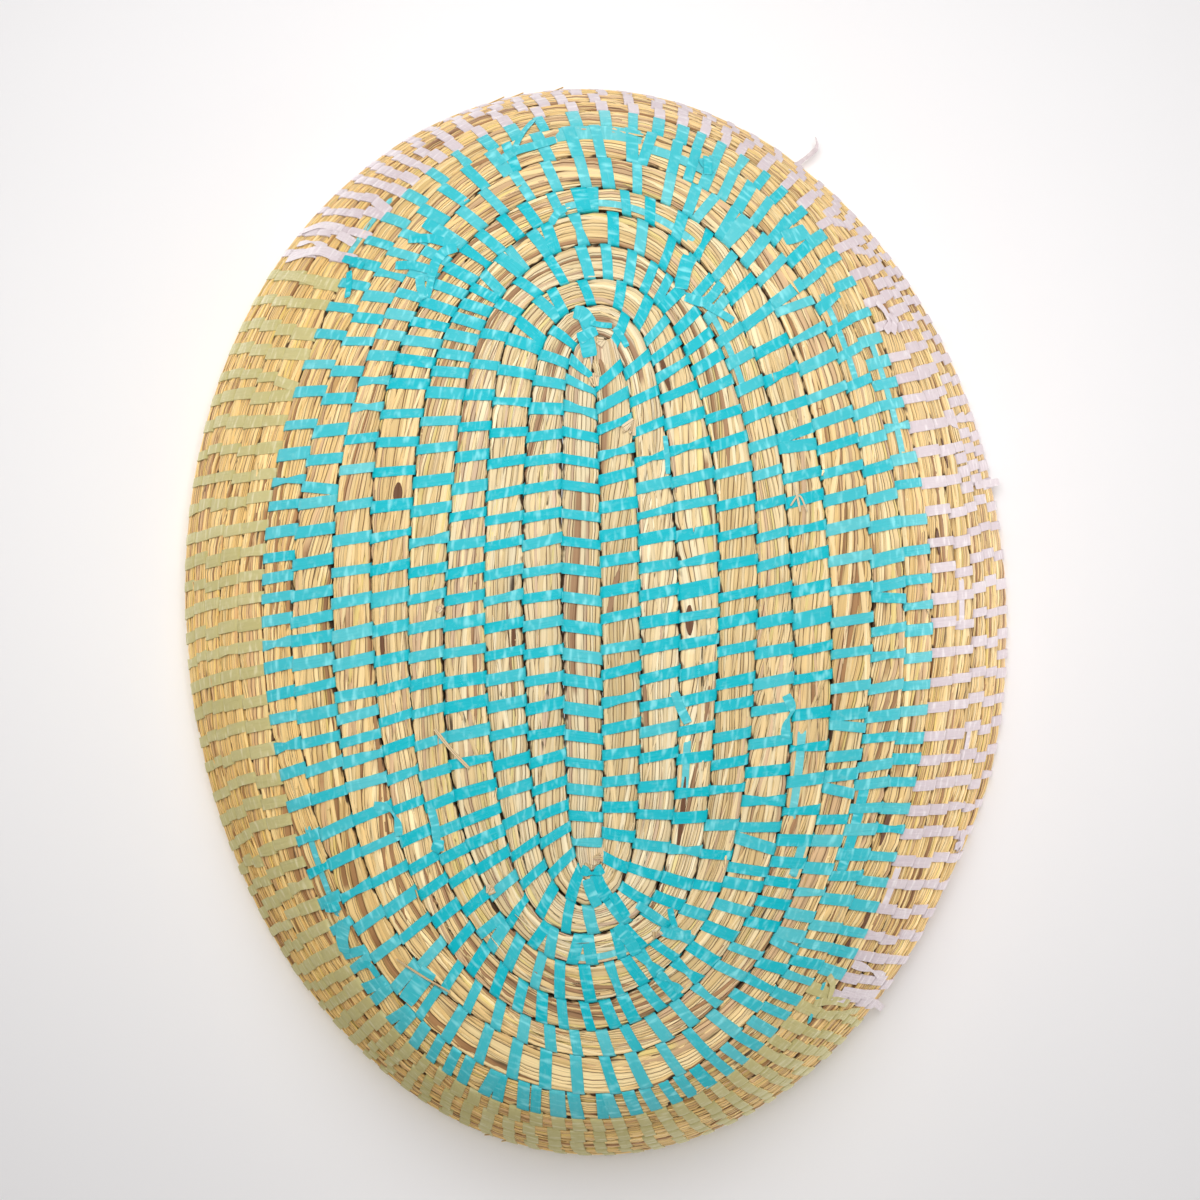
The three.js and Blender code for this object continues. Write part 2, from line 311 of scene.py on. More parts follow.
@dataclass(frozen=True)
class Lane:
    """The strip of the surface that a bundle fills, between the groove on its inner side and the outer one.

    The bundle's section is a rounded square. A place on it is named by its share round the section: 0 is
    the outer groove, a quarter the face inside the bowl, a half the inner groove and three quarters the
    face outside.
    """

    form: BasketForm
    half_share: float = 0.503
    squareness: float = 9.0
    section_steps: int = 1441
    half_thickness: float = 0.0047
    wander_rows: float = 0.06
    # Each wave of the wander: how many a turn, its phase and its height.
    wander_waves: tuple[Triple, ...] = ((2.3, 0.4, 1.0), (3.71, 1.9, 1.0), (6.13, 4.2, 0.8))
    tip_taper_deg: float = 8.0
    tip_share: float = 0.8
    end_taper_deg: float = 30.0
    end_share: float = 0.3
    table_steps_a_degree: int = 2
    least_table_steps: int = 50

    def wander(self, turn: Array) -> Array:
        """How far hand coiling leaves the outer groove from its even place: a sum of sines.

        Args:
            turn: Turn angles in degrees.

        Returns:
            Distances in rows, of the same shape.
        """
        angle = np.radians(np.asarray(turn))
        uneven = sum(height * np.sin(pace * angle + phase) for pace, phase, height in self.wander_waves)
        started = np.clip((np.asarray(turn) - FULL_TURN / 2) / FULL_TURN, 0, 1)
        return self.wander_rows * started * uneven

    def grooves(self, turn: Array) -> tuple[Array, Array, Array, Array]:
        """The rows and turn angles of the two grooves beside the bundle, the inner groove's first."""
        row = self.form.row_at(turn)
        return row - 0.5 + self.wander(turn - FULL_TURN), turn, row + 0.5 + self.wander(turn), turn

    def taper(self, turn: Array) -> Arrays:
        """The share of the bundle's width and thickness that is left near the coil's two ends.

        Args:
            turn: Turn angles in degrees.

        Returns:
            The shares of the width and of the thickness.
        """
        grown = np.clip((turn - self.form.tip_deg) / self.tip_taper_deg, 0, 1)
        left = np.clip((self.form.end_deg - turn) / self.end_taper_deg, 0, 1)
        left = self.end_share + (1 - self.end_share) * left
        return left, np.minimum(self.tip_share + (1 - self.tip_share) * grown, left)

    def section(self, share: Array) -> Arrays:
        """The rounded square at shares round it, evenly by length: a superellipse.

        Args:
            share: Shares round the section, of any shape.

        Returns:
            How far out and how far up, each from -1 to 1.
        """
        angle = np.linspace(0, 2 * np.pi, self.section_steps)
        power = 2 / self.squareness
        out = np.sign(np.cos(angle)) * np.abs(np.cos(angle)) ** power
        up = np.sign(np.sin(angle)) * np.abs(np.sin(angle)) ** power
        length = np.concatenate([[0], np.cumsum(np.hypot(np.diff(out), np.diff(up)))])
        length /= length[-1]
        place_round = np.mod(share, 1.0)
        return np.interp(place_round, length, out), np.interp(place_round, length, up)

    def points(self, turn: Array, share: Array, lift: Array) -> Array:
        """Points on the bundle, or raised from it.

        The point between the two grooves is moved along the normal between theirs.

        Args:
            turn: Turn angles in degrees.
            share: Shares round the section, of the same shape.
            lift: Heights above the bundle's plain section, in metres, of the same shape.

        Returns:
            Points, with a last axis of three.
        """
        inner_row, inner_turn, outer_row, outer_turn = self.grooves(turn)
        inner = self.form.surface(inner_row, inner_turn)
        outer = self.form.surface(outer_row, outer_turn)
        inner_normal = self.form.slopes(inner_row, inner_turn)[0]
        outer_normal = self.form.slopes(outer_row, outer_turn)[0]
        width_left, thickness_left = self.taper(turn)
        out, up = self.section(share)
        swell = 1 + lift / self.half_thickness
        side = 0.5 + self.half_share * (out * swell * width_left - (1 - width_left))
        side = side[..., None]
        height = (self.half_thickness * up * swell * thickness_left)[..., None]
        return inner + (outer - inner) * side + height * (inner_normal + (outer_normal - inner_normal) * side)

    def step(self, turn: Array, share: Array) -> Array:
        """The length of one degree along the bundle, between those along its two grooves.

        Args:
            turn: Turn angles in degrees.
            share: Shares round the section, of the same shape.

        Returns:
            Lengths in metres, of the same shape.
        """
        inner_row, inner_turn, outer_row, outer_turn = self.grooves(turn)
        inner = np.linalg.norm(self.form.slopes(inner_row, inner_turn)[1], axis=-1)
        outer = np.linalg.norm(self.form.slopes(outer_row, outer_turn)[1], axis=-1)
        side = 0.5 + self.half_share * self.section(share)[0]
        return inner + (outer - inner) * side

    def outside_step(self, turn: Array) -> Array:
        """The length of one degree along the middle of the bundle's outside, in metres."""
        return self.step(turn, np.full_like(turn, OUTSIDE))

    def lengths(self, from_deg: float, to_deg: float) -> Arrays:
        """A table of turn angles and of the length along the middle of the outside up to each.

        Args:
            from_deg: The first turn angle.
            to_deg: The last turn angle.

        Returns:
            Turn angles, and lengths in metres from the first.
        """
        steps = int(abs(to_deg - from_deg)) * self.table_steps_a_degree
        turn = np.linspace(from_deg, to_deg, max(steps, self.least_table_steps))
        return turn, run_lengths(self.points(turn, np.full_like(turn, OUTSIDE), np.zeros_like(turn)))


@dataclass(frozen=True)
class StartLane(Lane):
    """The lane of the straight start bundle, between the coil's first run and its return."""

    def grooves(self, turn: Array) -> tuple[Array, Array, Array, Array]:
        """The rows and turn angles of the two grooves beside the start bundle."""
        return self.form.row_at(-turn) - 0.5, -turn, self.form.row_at(turn) + 0.5, turn

    def taper(self, turn: Array) -> Arrays:
        """The start bundle keeps its whole section."""
        return np.ones_like(turn), np.ones_like(turn)


# Meshes from grids


@dataclass
class Grids:
    """Grid surfaces that become one piece: points and UVs of (count, rows, columns), and attributes."""

    points: Array
    uv: Array
    colours: dict[str, Array] = field(default_factory=dict)
    values: dict[str, Array] = field(default_factory=dict)
    closed_round: bool = False
    sharp_columns: tuple[int, ...] = ()

    def cut(self, rows: slice) -> "Grids":
        """The same surfaces with only some of their rows.

        Args:
            rows: The rows to keep.

        Returns:
            The new surfaces.
        """
        colours = {key: colour[:, rows] for key, colour in self.colours.items()}
        values = {key: value[:, rows] for key, value in self.values.items()}
        return replace(self, points=self.points[:, rows], uv=self.uv[:, rows], colours=colours, values=values)

    def corners(self) -> Arrays:
        """The four corners of every face, as vertex numbers and as places in the UV grid.

        Returns:
            Vertex numbers and UV places, each of shape (faces, 4).
        """
        count, rows, columns = self.points.shape[:3]
        wide = columns if self.closed_round else columns - 1
        ranges = np.arange(count), np.arange(rows - 1), np.arange(wide)
        grid, row, column = np.meshgrid(*ranges, indexing="ij")
        corner_rows = np.stack([row, row + 1, row + 1, row], axis=-1)
        corner_columns = np.stack([column, column, column + 1, column + 1], axis=-1)
        first = (grid * rows)[..., None]
        vertices = (first + corner_rows) * columns + np.mod(corner_columns, columns)
        places = (first + corner_rows) * self.uv.shape[2] + corner_columns
        return vertices.reshape(-1, 4), places.reshape(-1, 4)

    def sharpen(self, mesh: bpy.types.Mesh) -> None:
        """Marks the edges that run along the sharp columns.

        Args:
            mesh: The mesh, with its edges.
        """
        ends = np.empty(len(mesh.edges) * 2, np.int32)
        mesh.edges.foreach_get("vertices", ends)
        column = np.mod(ends.reshape(-1, 2), self.points.shape[2])
        sharp = (column[:, 0] == column[:, 1]) & np.isin(column[:, 0], self.sharp_columns)
        mesh.attributes.new("sharp_edge", "BOOLEAN", "EDGE").data.foreach_set("value", sharp)

    def build(self, name: str, material: Material) -> bpy.types.Object:
        """Makes the object, with its UV map, attributes and material.

        Args:
            name: The piece's name.
            material: Its material.

        Returns:
            The new object, at the origin.
        """
        vertices, places = self.corners()
        flat = self.points.reshape(-1, 3)
        mesh = bpy.data.meshes.new(name)
        mesh.vertices.add(len(flat))
        mesh.vertices.foreach_set("co", flat.astype(np.float32).ravel())
        mesh.loops.add(vertices.size)
        mesh.loops.foreach_set("vertex_index", vertices.astype(np.int32).ravel())
        mesh.polygons.add(len(vertices))
        mesh.polygons.foreach_set("loop_start", np.arange(0, vertices.size, 4, dtype=np.int32))
        mesh.polygons.foreach_set("use_smooth", np.ones(len(vertices), dtype=bool))
        layer = mesh.uv_layers.new(name="UVMap")
        layer.data.foreach_set("uv", self.uv.reshape(-1, 2)[places.ravel()].astype(np.float32).ravel())
        for key, colour in self.colours.items():
            full = np.ones((len(flat), 4), np.float32)
            full[:, :3] = colour.reshape(-1, 3)
            mesh.attributes.new(key, "FLOAT_COLOR", "POINT").data.foreach_set("color", full.ravel())
        for key, value in self.values.items():
            attribute = mesh.attributes.new(key, "FLOAT", "POINT")
            attribute.data.foreach_set("value", value.astype(np.float32).ravel())
        mesh.update(calc_edges=True)
        self.sharpen(mesh)
        made = bpy.data.objects.new(name, mesh)
        bpy.context.scene.collection.objects.link(made)
        made.data.materials.append(material)
        return made


def place(piece: bpy.types.Object, slot: str, *nodes: str) -> None:
    """Rides a piece on the basket, hides the solids that it stands for, and reports it.

    Args:
        piece: The piece.
        slot: The finish's name; not used.
        nodes: The solids that it replaces.
    """
    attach(piece, "root")
    if nodes:
        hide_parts(*nodes)
    LOG.info("%s: %d faces", piece.name, len(piece.data.polygons))


# Finishes


@dataclass(frozen=True)
class Grain:
    """A noise pattern: how often it changes in a unit across and along, its detail and its roughness."""

    across: float
    along: float
    detail: float = 2.0
    rough: float = 0.5


class Shader:
    """A material's node tree, with short ways to add nodes and join them."""

    def __init__(self, name: str) -> None:
        """Makes an empty material with an output and a main shader.

        Args:
            name: The material's name.
        """
        self.material = bpy.data.materials.new(name)
        self.material.use_nodes = True
        self.tree = self.material.node_tree
        self.tree.nodes.clear()
        self.output = self.tree.nodes.new("ShaderNodeOutputMaterial")
        self.main = self.tree.nodes.new("ShaderNodeBsdfPrincipled")
        self.join(self.main.outputs[0], self.output.inputs["Surface"])

    def join(self, source: object, target: Socket) -> None:
        """Links a socket to a socket, or sets a plain value on it.

        Args:
            source: A socket, or a value.
            target: The socket that gets it.
        """
        if isinstance(source, Socket):
            self.tree.links.new(source, target)
        else:
            target.default_value = source

    def add(self, kind: str, inputs: dict[int | str, object], **settings: object) -> bpy.types.Node:
        """Adds a node, sets its properties and joins its inputs.

        Args:
            kind: The node's type.
            inputs: Sockets or values for its inputs, by number or name.
            settings: Its properties by name.

        Returns:
            The new node.
        """
        node = self.tree.nodes.new(kind)
        for key, value in settings.items():
            setattr(node, key, value)
        for key, source in inputs.items():
            self.join(source, node.inputs[key])
        return node

    def uv(self) -> Socket:
        """The mesh's UV map."""
        return self.add("ShaderNodeUVMap", {}, uv_map="UVMap").outputs[0]

    def attribute(self, name: str, output: str = "Fac") -> Socket:
        """A value that the mesh carries, by its name."""
        return self.add("ShaderNodeAttribute", {}, attribute_name=name).outputs[output]

    def math(self, operation: str, *values: object) -> Socket:
        """The result of a Math node for one to three values."""
        return self.add("ShaderNodeMath", dict(enumerate(values)), operation=operation).outputs[0]

    def ramp(self, value: object, change: Ramp) -> Socket:
        """A smooth clamped change of a value."""
        inputs = dict(enumerate((value, *change)))
        return self.add("ShaderNodeMapRange", inputs, interpolation_type="SMOOTHSTEP", clamp=True).outputs[0]

    def mix(self, share: object, first: object, second: object, blend: str = "MIX") -> Socket:
        """A mix of two colours by the share of the second. The node's inputs 6 and 7 are its colours."""
        inputs = {0: share, 6: first, 7: second}
        return self.add("ShaderNodeMix", inputs, data_type="RGBA", blend_type=blend).outputs[2]

    def stretched(self, vector: object, *scale: float) -> Socket:
        """A vector scaled along its three axes."""
        return self.add("ShaderNodeMapping", {"Vector": vector, "Scale": scale}).outputs[0]

    def length(self, vector: object) -> Socket:
        """The length of a vector."""
        return self.add("ShaderNodeVectorMath", {0: vector}, operation="LENGTH").outputs["Value"]

    def noise(self, vector: object, grain: Grain) -> Socket:
        """A noise value, about 0 to 1, read at a vector that is stretched by the grain.

        Args:
            vector: The vector.
            grain: The pattern.

        Returns:
            The value.
        """
        stretched = self.stretched(vector, grain.across, grain.along, 1.0)
        inputs = {"Vector": stretched, "Scale": 1.0, "Detail": grain.detail, "Roughness": grain.rough}
        return self.add("ShaderNodeTexNoise", inputs).outputs["Fac"]

    def coat(self, colour: object, roughness: float, specular: float) -> None:
        """Gives the main shader its colour, its roughness from 0 to 1 and its shine."""
        for key, part in (("Base Color", colour), ("Roughness", roughness), ("Specular IOR Level", specular)):
            self.join(part, self.main.inputs[key])

    def bump(self, height: object, distance: float, strength: float) -> None:
        """Roughens the main shader by a height, of which one stands out by the distance in metres."""
        node = self.add("ShaderNodeBump", {"Height": height, "Distance": distance, "Strength": strength})
        self.join(node.outputs[0], self.main.inputs["Normal"])


@dataclass(frozen=True)
class GrassFinish:
    """Dry grass stems: each its own colour, with fine fibres along it, dark lines and nodes, and painted
    shade in the gaps beside it.
    """

    name: str = "grass"
    # Painted shade in the gaps between stems; the slanted lines are drawn in the same dark colour.
    gap_shade_and_line_colour: Colour = (0.13, 0.052, 0.016, 1.0)
    # Painted shade in the grooves between rows and in wedges beside the stitches.
    groove_shade_colour: Colour = (0.05, 0.020, 0.008, 1.0)
    node_colour: Colour = (0.035, 0.015, 0.008, 1.0)
    roughness: float = 0.62
    specular: float = 0.3
    fibre_grain: Grain = Grain(7.0, 26.0, 3.0, 0.6)
    patch_grain: Grain = Grain(0.7, 28.0)
    gap_grain: Grain = Grain(0.9, 24.0)
    ragged_grain: Grain = Grain(0.35, 190.0, 2.0, 0.6)
    # Lines that cross the stems: how many stems in a metre, and their grain.
    slanted_lines: tuple[tuple[float, Grain], ...] = (
        (9.0, Grain(6.5, 22.0, 1.0)),
        (-12.0, Grain(5.5, 26.0, 1.0)),
    )
    node_cells: Triple = (0.55, 70.0, 1.0)
    fibre_tone: Ramp = (0.25, 0.75, 0.88, 1.06)
    patch_tone: Ramp = (0.3, 0.7, -0.06, 0.06)
    # Painted shade that darkens each stem towards its edges.
    painted_edge_shade: Ramp = (0.0, 0.3, 0.86, 1.0)
    # How the painted gap shade narrows at a stem's edge, opens by a noise, and how dark it is.
    gap_width: Ramp = (0.04, 0.1, 1.0, 0.0)
    gap_openness: Ramp = (0.38, 0.52, 0.12, 1.0)
    gap_share: float = 0.88
    gaps_outwards: float = 0.04
    line_width: Ramp = (0.66, 0.71, 0.0, 0.55)
    lines_outwards: float = 0.03
    node_rarity: float = 0.965
    node_size: Ramp = (0.12, 0.42, 0.9, 0.0)
    # How dark the painted groove shade grows with a point's depth in a groove, and how ragged its edge is.
    groove_shade_ramp: Ramp = (0.25, 0.48, 0.0, 0.95)
    groove_raggedness: float = 1.1
    fibre_height: float = 0.7
    gap_depth: float = 0.5
    bump_height: float = 0.0005
    bump_strength: float = 0.45

    def shaded(self, shader: Shader, uv: Socket, edge: Socket, fibres: Socket) -> Socket:
        """The stems' own colours, times a tone: fibres plus patches, with painted shade darker towards a
        stem's edge.

        Args:
            shader: The material's nodes.
            uv: The UV map.
            edge: The way from the nearest edge of a stem, in stems.
            fibres: The noise of the fibres.

        Returns:
            The colour.
        """
        patches = shader.noise(uv, self.patch_grain)
        tone = shader.math("ADD", shader.ramp(fibres, self.fibre_tone), shader.ramp(patches, self.patch_tone))
        tone = shader.math("MULTIPLY", tone, shader.ramp(edge, self.painted_edge_shade))
        shade = shader.add("ShaderNodeCombineColor", {0: tone, 1: tone, 2: tone}).outputs[0]
        return shader.mix(1.0, shader.attribute("stem_colour", "Color"), shade, "MULTIPLY")

    def lined(self, shader: Shader, split: bpy.types.Node, outwards: Socket, colour: Socket) -> Socket:
        """A colour with thin dark lines at small slants: a noise of U plus V times the slant, and of V.

        Args:
            shader: The material's nodes.
            split: The node that gives U and V.
            outwards: The share of the way out to the wall.
            colour: The colour.

        Returns:
            The colour with lines.
        """
        across, along = split.outputs[:2]
        for slant, grain in self.slanted_lines:
            moved = shader.math("MULTIPLY_ADD", along, slant, across)
            joined = shader.add("ShaderNodeCombineXYZ", {0: moved, 1: along})
            lines = shader.noise(joined.outputs[0], grain)
            lines = shader.math("MULTIPLY_ADD", outwards, self.lines_outwards, lines)
            colour = shader.mix(shader.ramp(lines, self.line_width), colour, self.gap_shade_and_line_colour)
        return colour

    def spotted(self, shader: Shader, uv: Socket, colour: Socket) -> Socket:
        """A colour with dark nodes: spots in the few cells of a pattern whose number is high.

        Args:
            shader: The material's nodes.
            uv: The UV map.
            colour: The colour.

        Returns:
            The colour with nodes.
        """
        vector = shader.stretched(uv, *self.node_cells)
        cells = shader.add("ShaderNodeTexVoronoi", {"Vector": vector, "Scale": 1.0}, feature="F1")
        chosen = shader.add("ShaderNodeSeparateColor", {0: cells.outputs["Color"]})
        rare = shader.math("GREATER_THAN", chosen.outputs[0], self.node_rarity)
        spot = shader.math("MULTIPLY", rare, shader.ramp(cells.outputs["Distance"], self.node_size))
        return shader.mix(spot, colour, self.node_colour)

    def build(self) -> Material:
        """The material. U counts stems round the bundle and V is metres along it.

        The stems' colour, with painted shade at their edges, is mixed with darker ones: painted shade in the
        gaps and in the ragged grooves, and dark lines and nodes. A gap is narrow at a stem's edge and open
        where a noise is high, more so outwards.

        Returns:
            The new material.
        """
        shader = Shader(self.name)
        uv = shader.uv()
        split = shader.add("ShaderNodeSeparateXYZ", {0: uv})
        outwards = shader.attribute("outwards")
        edge = shader.math("PINGPONG", split.outputs[0], 0.5)
        fibres = shader.noise(uv, self.fibre_grain)
        # Painted shade in the gaps between stems, open where a noise is high and more so outwards.
        gaps = shader.math("MULTIPLY_ADD", outwards, self.gaps_outwards, shader.noise(uv, self.gap_grain))
        openness = shader.ramp(gaps, self.gap_openness)
        gap = shader.math("MULTIPLY", shader.ramp(edge, self.gap_width), openness)
        colour = self.shaded(shader, uv, edge, fibres)
        colour = shader.mix(shader.math("MULTIPLY", gap, self.gap_share), colour, self.gap_shade_and_line_colour)
        colour = self.spotted(shader, uv, self.lined(shader, split, outwards, colour))
        # Painted shade in the grooves, with a ragged edge.
        ragged = shader.noise(uv, self.ragged_grain)
        deep = shader.math("SUBTRACT", shader.attribute("groove"), self.groove_raggedness / 2)
        deep = shader.math("MULTIPLY_ADD", ragged, self.groove_raggedness, deep)
        colour = shader.mix(shader.ramp(deep, self.groove_shade_ramp), colour, self.groove_shade_colour)
        shader.coat(colour, self.roughness, self.specular)
        fallen = shader.math("MULTIPLY", gap, self.gap_depth)
        height = shader.math("SUBTRACT", shader.math("MULTIPLY", fibres, self.fibre_height), fallen)
        shader.bump(height, self.bump_height, self.bump_strength)
        return shader.material


@dataclass(frozen=True)
class StripFinish:
    """A flat binding strip: a fresh colour, worn paler by its own amount, with paler painted highlights."""

    colour: StripColour
    fresh: Colour
    worn: Colour
    # The colour of the painted highlights.
    highlight_colour: Colour
    roughness: float = 0.5
    specular: float = 0.17
    crease_grain: Grain = Grain(1.3, 0.16, 2.0, 0.55)
    mottle_grain: Grain = Grain(0.55, 0.5, 3.0, 0.6)
    ridge_grain: Grain = Grain(0.2, 0.7, 1.0)
    mottle_wear: Ramp = (0.5, 0.8, 0.0, 0.5)
    crease_wear: Ramp = (0.6, 0.85, 0.0, 0.3)
    ridge_highlight: Ramp = (0.5, 0.78, 0.0, 0.72)
    mottle_height: float = 0.5
    bump_height: float = 0.0004
    bump_strength: float = 0.5

    def build(self) -> Material:
        """The material. U runs across the strip and V along it, both in millimetres.

        The wear is the stitch's own plus that of the mottle and the creases, at most one.

        Returns:
            The new material.
        """
        shader = Shader(self.colour.value)
        uv = shader.uv()
        creases = shader.noise(uv, self.crease_grain)
        mottle = shader.noise(uv, self.mottle_grain)
        rubbed = shader.math("ADD", shader.attribute("wear"), shader.ramp(mottle, self.mottle_wear))
        rubbed = shader.math("ADD", rubbed, shader.ramp(creases, self.crease_wear))
        colour = shader.mix(shader.math("MINIMUM", rubbed, 1.0), self.fresh, self.worn)
        # Painted highlights: paler streaks where a noise is high.
        ridges = shader.noise(uv, self.ridge_grain)
        colour = shader.mix(shader.ramp(ridges, self.ridge_highlight), colour, self.highlight_colour)
        shader.coat(colour, self.roughness, self.specular)
        height = shader.math("ADD", creases, shader.math("MULTIPLY", mottle, self.mottle_height))
        shader.bump(height, self.bump_height, self.bump_strength)
        return shader.material


STRIP_FINISHES = (
    StripFinish(
        StripColour.CYAN,
        fresh=(0.002, 0.43, 0.50, 1.0),
        worn=(0.16, 0.54, 0.56, 1.0),
        highlight_colour=(0.26, 0.73, 0.76, 1.0),
    ),
    StripFinish(
        StripColour.OLIVE,
        fresh=(0.47, 0.41, 0.16, 1.0),
        worn=(0.59, 0.525, 0.26, 1.0),
        highlight_colour=(0.70, 0.64, 0.40, 1.0),
        roughness=0.6,
        specular=0.2,
    ),
    StripFinish(
        StripColour.LILAC,
        fresh=(0.56, 0.465, 0.49, 1.0),
        worn=(0.67, 0.585, 0.60, 1.0),
        highlight_colour=(0.78, 0.72, 0.72, 1.0),
        roughness=0.55,
        specular=0.25,
    ),
)


# Grass


@dataclass
class GrassBundle:
    """A bundle of stems as one grid, whose columns follow the stems, pinched under each stitch."""

    lane: Lane
    seed: int = 11
    stems: int = 32
    columns_a_stem: int = 3
    ring_spacing: float = 0.0027
    least_rings: int = 12
    end_round: float = 0.0014
    end_rings: Values = (0.03, 0.12, 0.3, 0.55, 0.8)
    stem_relief: float = 0.00018
    stem_unevenness: float = 0.00013
    unevenness_wavelength: float = 0.12
    width_swing: float = 0.62
    width_wavelength: float = 0.24
    twist_a_metre: float = -2.0
    twist_swing: float = 0.05
    twist_wavelength: float = 0.2
    pinch: float = 0.00035
    pinch_reach: float = 0.0022
    # Where the painted groove shade lies: in wedges beside each stitch, in the grooves, and only a little on
    # the rim's top.
    wedge: float = 0.62
    wedge_reach: float = 0.0030
    wedge_from: float = 0.74
    wedge_span: float = 0.22
    groove_from: float = 0.97
    groove_span: float = 0.55
    bare_groove: float = 0.15
    bare_from: float = -0.5
    palette: tuple[Triple, ...] = (
        (0.75, 0.57, 0.335),
        (0.69, 0.50, 0.265),
        (0.80, 0.645, 0.42),
        (0.59, 0.405, 0.265),
        (0.72, 0.565, 0.25),
        (0.34, 0.19, 0.10),
    )
    weights: Values = (0.33, 0.29, 0.16, 0.12, 0.05, 0.05)
    stem_runs: Pair = (0.05, 0.16)
    stem_shades: Pair = (0.9, 1.08)
    row_tones: Triple = (0.05, 0.07, 0.12)
    row_tone_wavelength: float = 0.5
    shared_tone: float = 0.05
    shared_tone_wavelength: float = 0.3
    middle_tint: Triple = (1.06, 1.11, 1.11)
    wall_tint: Triple = (1.19, 1.03, 0.61)
    pale_wall_tint: Triple = (1.15, 1.08, 0.86)
    palest_at_deg: float = 45.0
    tint_rows: Pair = (2.0, 10.0)
    browning: Triple = (0.5, 0.62, 0.7)
    brown_wavelength: float = 0.06
    brown_from: float = 0.75
    brown_span: float = 0.7
    brown_on_base: float = 0.25
    rng: Rng = field(init=False)

    @property
    def inside(self) -> Array:
        """The shares of a stem's width at which its columns stand."""
        return np.arange(self.columns_a_stem) / self.columns_a_stem

    def outwards(self, turn: Array) -> Array:
        """The share of the way from the middle of the base out to the wall, by the row."""
        return np.clip((self.lane.form.row_at(turn) - self.tint_rows[0]) / np.ptp(self.tint_rows), 0, 1)

    def tint(self, turn: Array) -> Array:
        """How the grass deepens to gold from the middle of the base out to the wall, by its row.

        The wall's own tint goes from one to another by the cosine of the turn angle from the palest place.

        Args:
            turn: Turn angles in degrees.

        Returns:
            Factors, with a last axis of three.
        """
        middle, golden, pale = np.array([self.middle_tint, self.wall_tint, self.pale_wall_tint])
        paleness = 0.5 + 0.5 * np.cos(np.radians(turn - self.palest_at_deg))
        wall = golden + (pale - golden) * paleness[..., None]
        return middle + (wall - middle) * self.outwards(turn)[..., None]

    def stem_colours(self, along: Array) -> Array:
        """The colour of each stem along the bundle, which changes where one stem gives way to the next.

        Args:
            along: Lengths along the bundle.

        Returns:
            Colours, of shape (rings, stems, 3).
        """
        run = self.rng.uniform(*self.stem_runs, self.stems)
        begun = self.rng.uniform(0, 1, self.stems)
        number = np.floor(along[:, None] / run + begun).astype(int)
        most = int(number.max()) + 1
        chosen = self.rng.choice(len(self.palette), size=(self.stems, most), p=self.weights)
        shade = self.rng.uniform(*self.stem_shades, (self.stems, most))
        stem = np.arange(self.stems)[None, :]
        return np.array(self.palette)[chosen[stem, number]] * shade[stem, number][..., None]

    def colours(self, turn: Array, along: Array) -> Array:
        """The stems' colours, times the row's tones and tint, and browned where a smooth curve is high.

        Args:
            turn: The turn angle of each ring.
            along: Its length along the bundle.

        Returns:
            Colours, of shape (rings, stems, 3).
        """
        tones = 1 + waves(self.rng, along, 1, self.row_tone_wavelength) * np.array(self.row_tones)
        tones = tones + self.shared_tone * waves(self.rng, along, 1, self.shared_tone_wavelength)
        colours = self.stem_colours(along) * (self.tint(turn) * tones)[:, None, :]
        brown = waves(self.rng, along, self.stems, self.brown_wavelength) - self.brown_from
        brown = np.clip(brown, 0, self.brown_span) / self.brown_span
        brown = brown * (self.brown_on_base + (1 - self.brown_on_base) * self.outwards(turn))[:, None]
        return colours * (1 - brown[..., None] * np.array(self.browning))

    def shares(self, along: Array) -> Array:
        """The columns' shares round the section. They twist along the bundle, and the stems' widths change.

        A stem's width is the exponential of a smooth curve, over the sum of them all.

        Args:
            along: Lengths along the bundle.

        Returns:
            Shares, of shape (rings, columns).
        """
        widths = np.exp(self.width_swing * waves(self.rng, along, self.stems, self.width_wavelength))
        edges = np.concatenate([np.zeros((along.size, 1)), np.cumsum(widths, axis=1)], axis=1)
        edges = edges / edges[:, -1:] + self.twist_swing * waves(self.rng, along, 1, self.twist_wavelength)
        edges = edges + self.twist_a_metre * along[:, None]
        first = edges[:, :-1, None]
        return (first + (edges[:, 1:, None] - first) * self.inside).reshape(along.size, -1)

    def lifts(self, along: Array, nearest: Array) -> Array:
        """Heights above the plain section, which fall between stems and where a stitch pulls them tight.

        At the bundle's ends they fall by a quarter of a circle, which closes it.

        Args:
            along: Lengths along the bundle.
            nearest: The way from each ring to the nearest stitch.

        Returns:
            Heights, of shape (rings, columns).
        """
        uneven = waves(self.rng, along, self.stems, self.unevenness_wavelength)[..., None]
        relief = np.where(self.inside > 0, 0.0, -self.stem_relief) + self.stem_unevenness * uneven
        relief = relief - self.pinch * np.exp(-((nearest / self.pinch_reach) ** 2))[:, None, None]
        from_end = np.minimum(along, along[-1] - along) / self.end_round
        full = np.sqrt(1 - (1 - np.clip(from_end, 0, 1)) ** 2)[:, None]
        thick = self.lane.half_thickness
        return full * (thick + relief.reshape(along.size, -1)) - thick

    def groove_shade_mask(self, turn: Array, share: Array, nearest: Array) -> Array:
        """How deep in a groove each point lies, which sets the painted shade in the grooves. The top of the
        rim has no row beyond it, so it gets little of it.

        Args:
            turn: The turn angle of each ring.
            share: Shares round the section, of shape (rings, columns).
            nearest: The way from each ring to the nearest stitch.

        Returns:
            Depths from 0 to 1, of the shape of share.
        """
        out, up = self.lane.section(share)
        beside = self.wedge * np.exp(-((nearest / self.wedge_reach) ** 2))[:, None]
        corner = np.clip((np.abs(out) - self.wedge_from) / self.wedge_span, 0, 1)
        depth = np.clip((self.groove_from - np.abs(up)) / self.groove_span, 0, 1)
        depth = np.maximum(depth, beside * corner)
        bare = (turn > self.lane.form.end_deg - FULL_TURN)[:, None] & (out > self.bare_from)
        return np.where(bare, self.bare_groove * depth, depth)

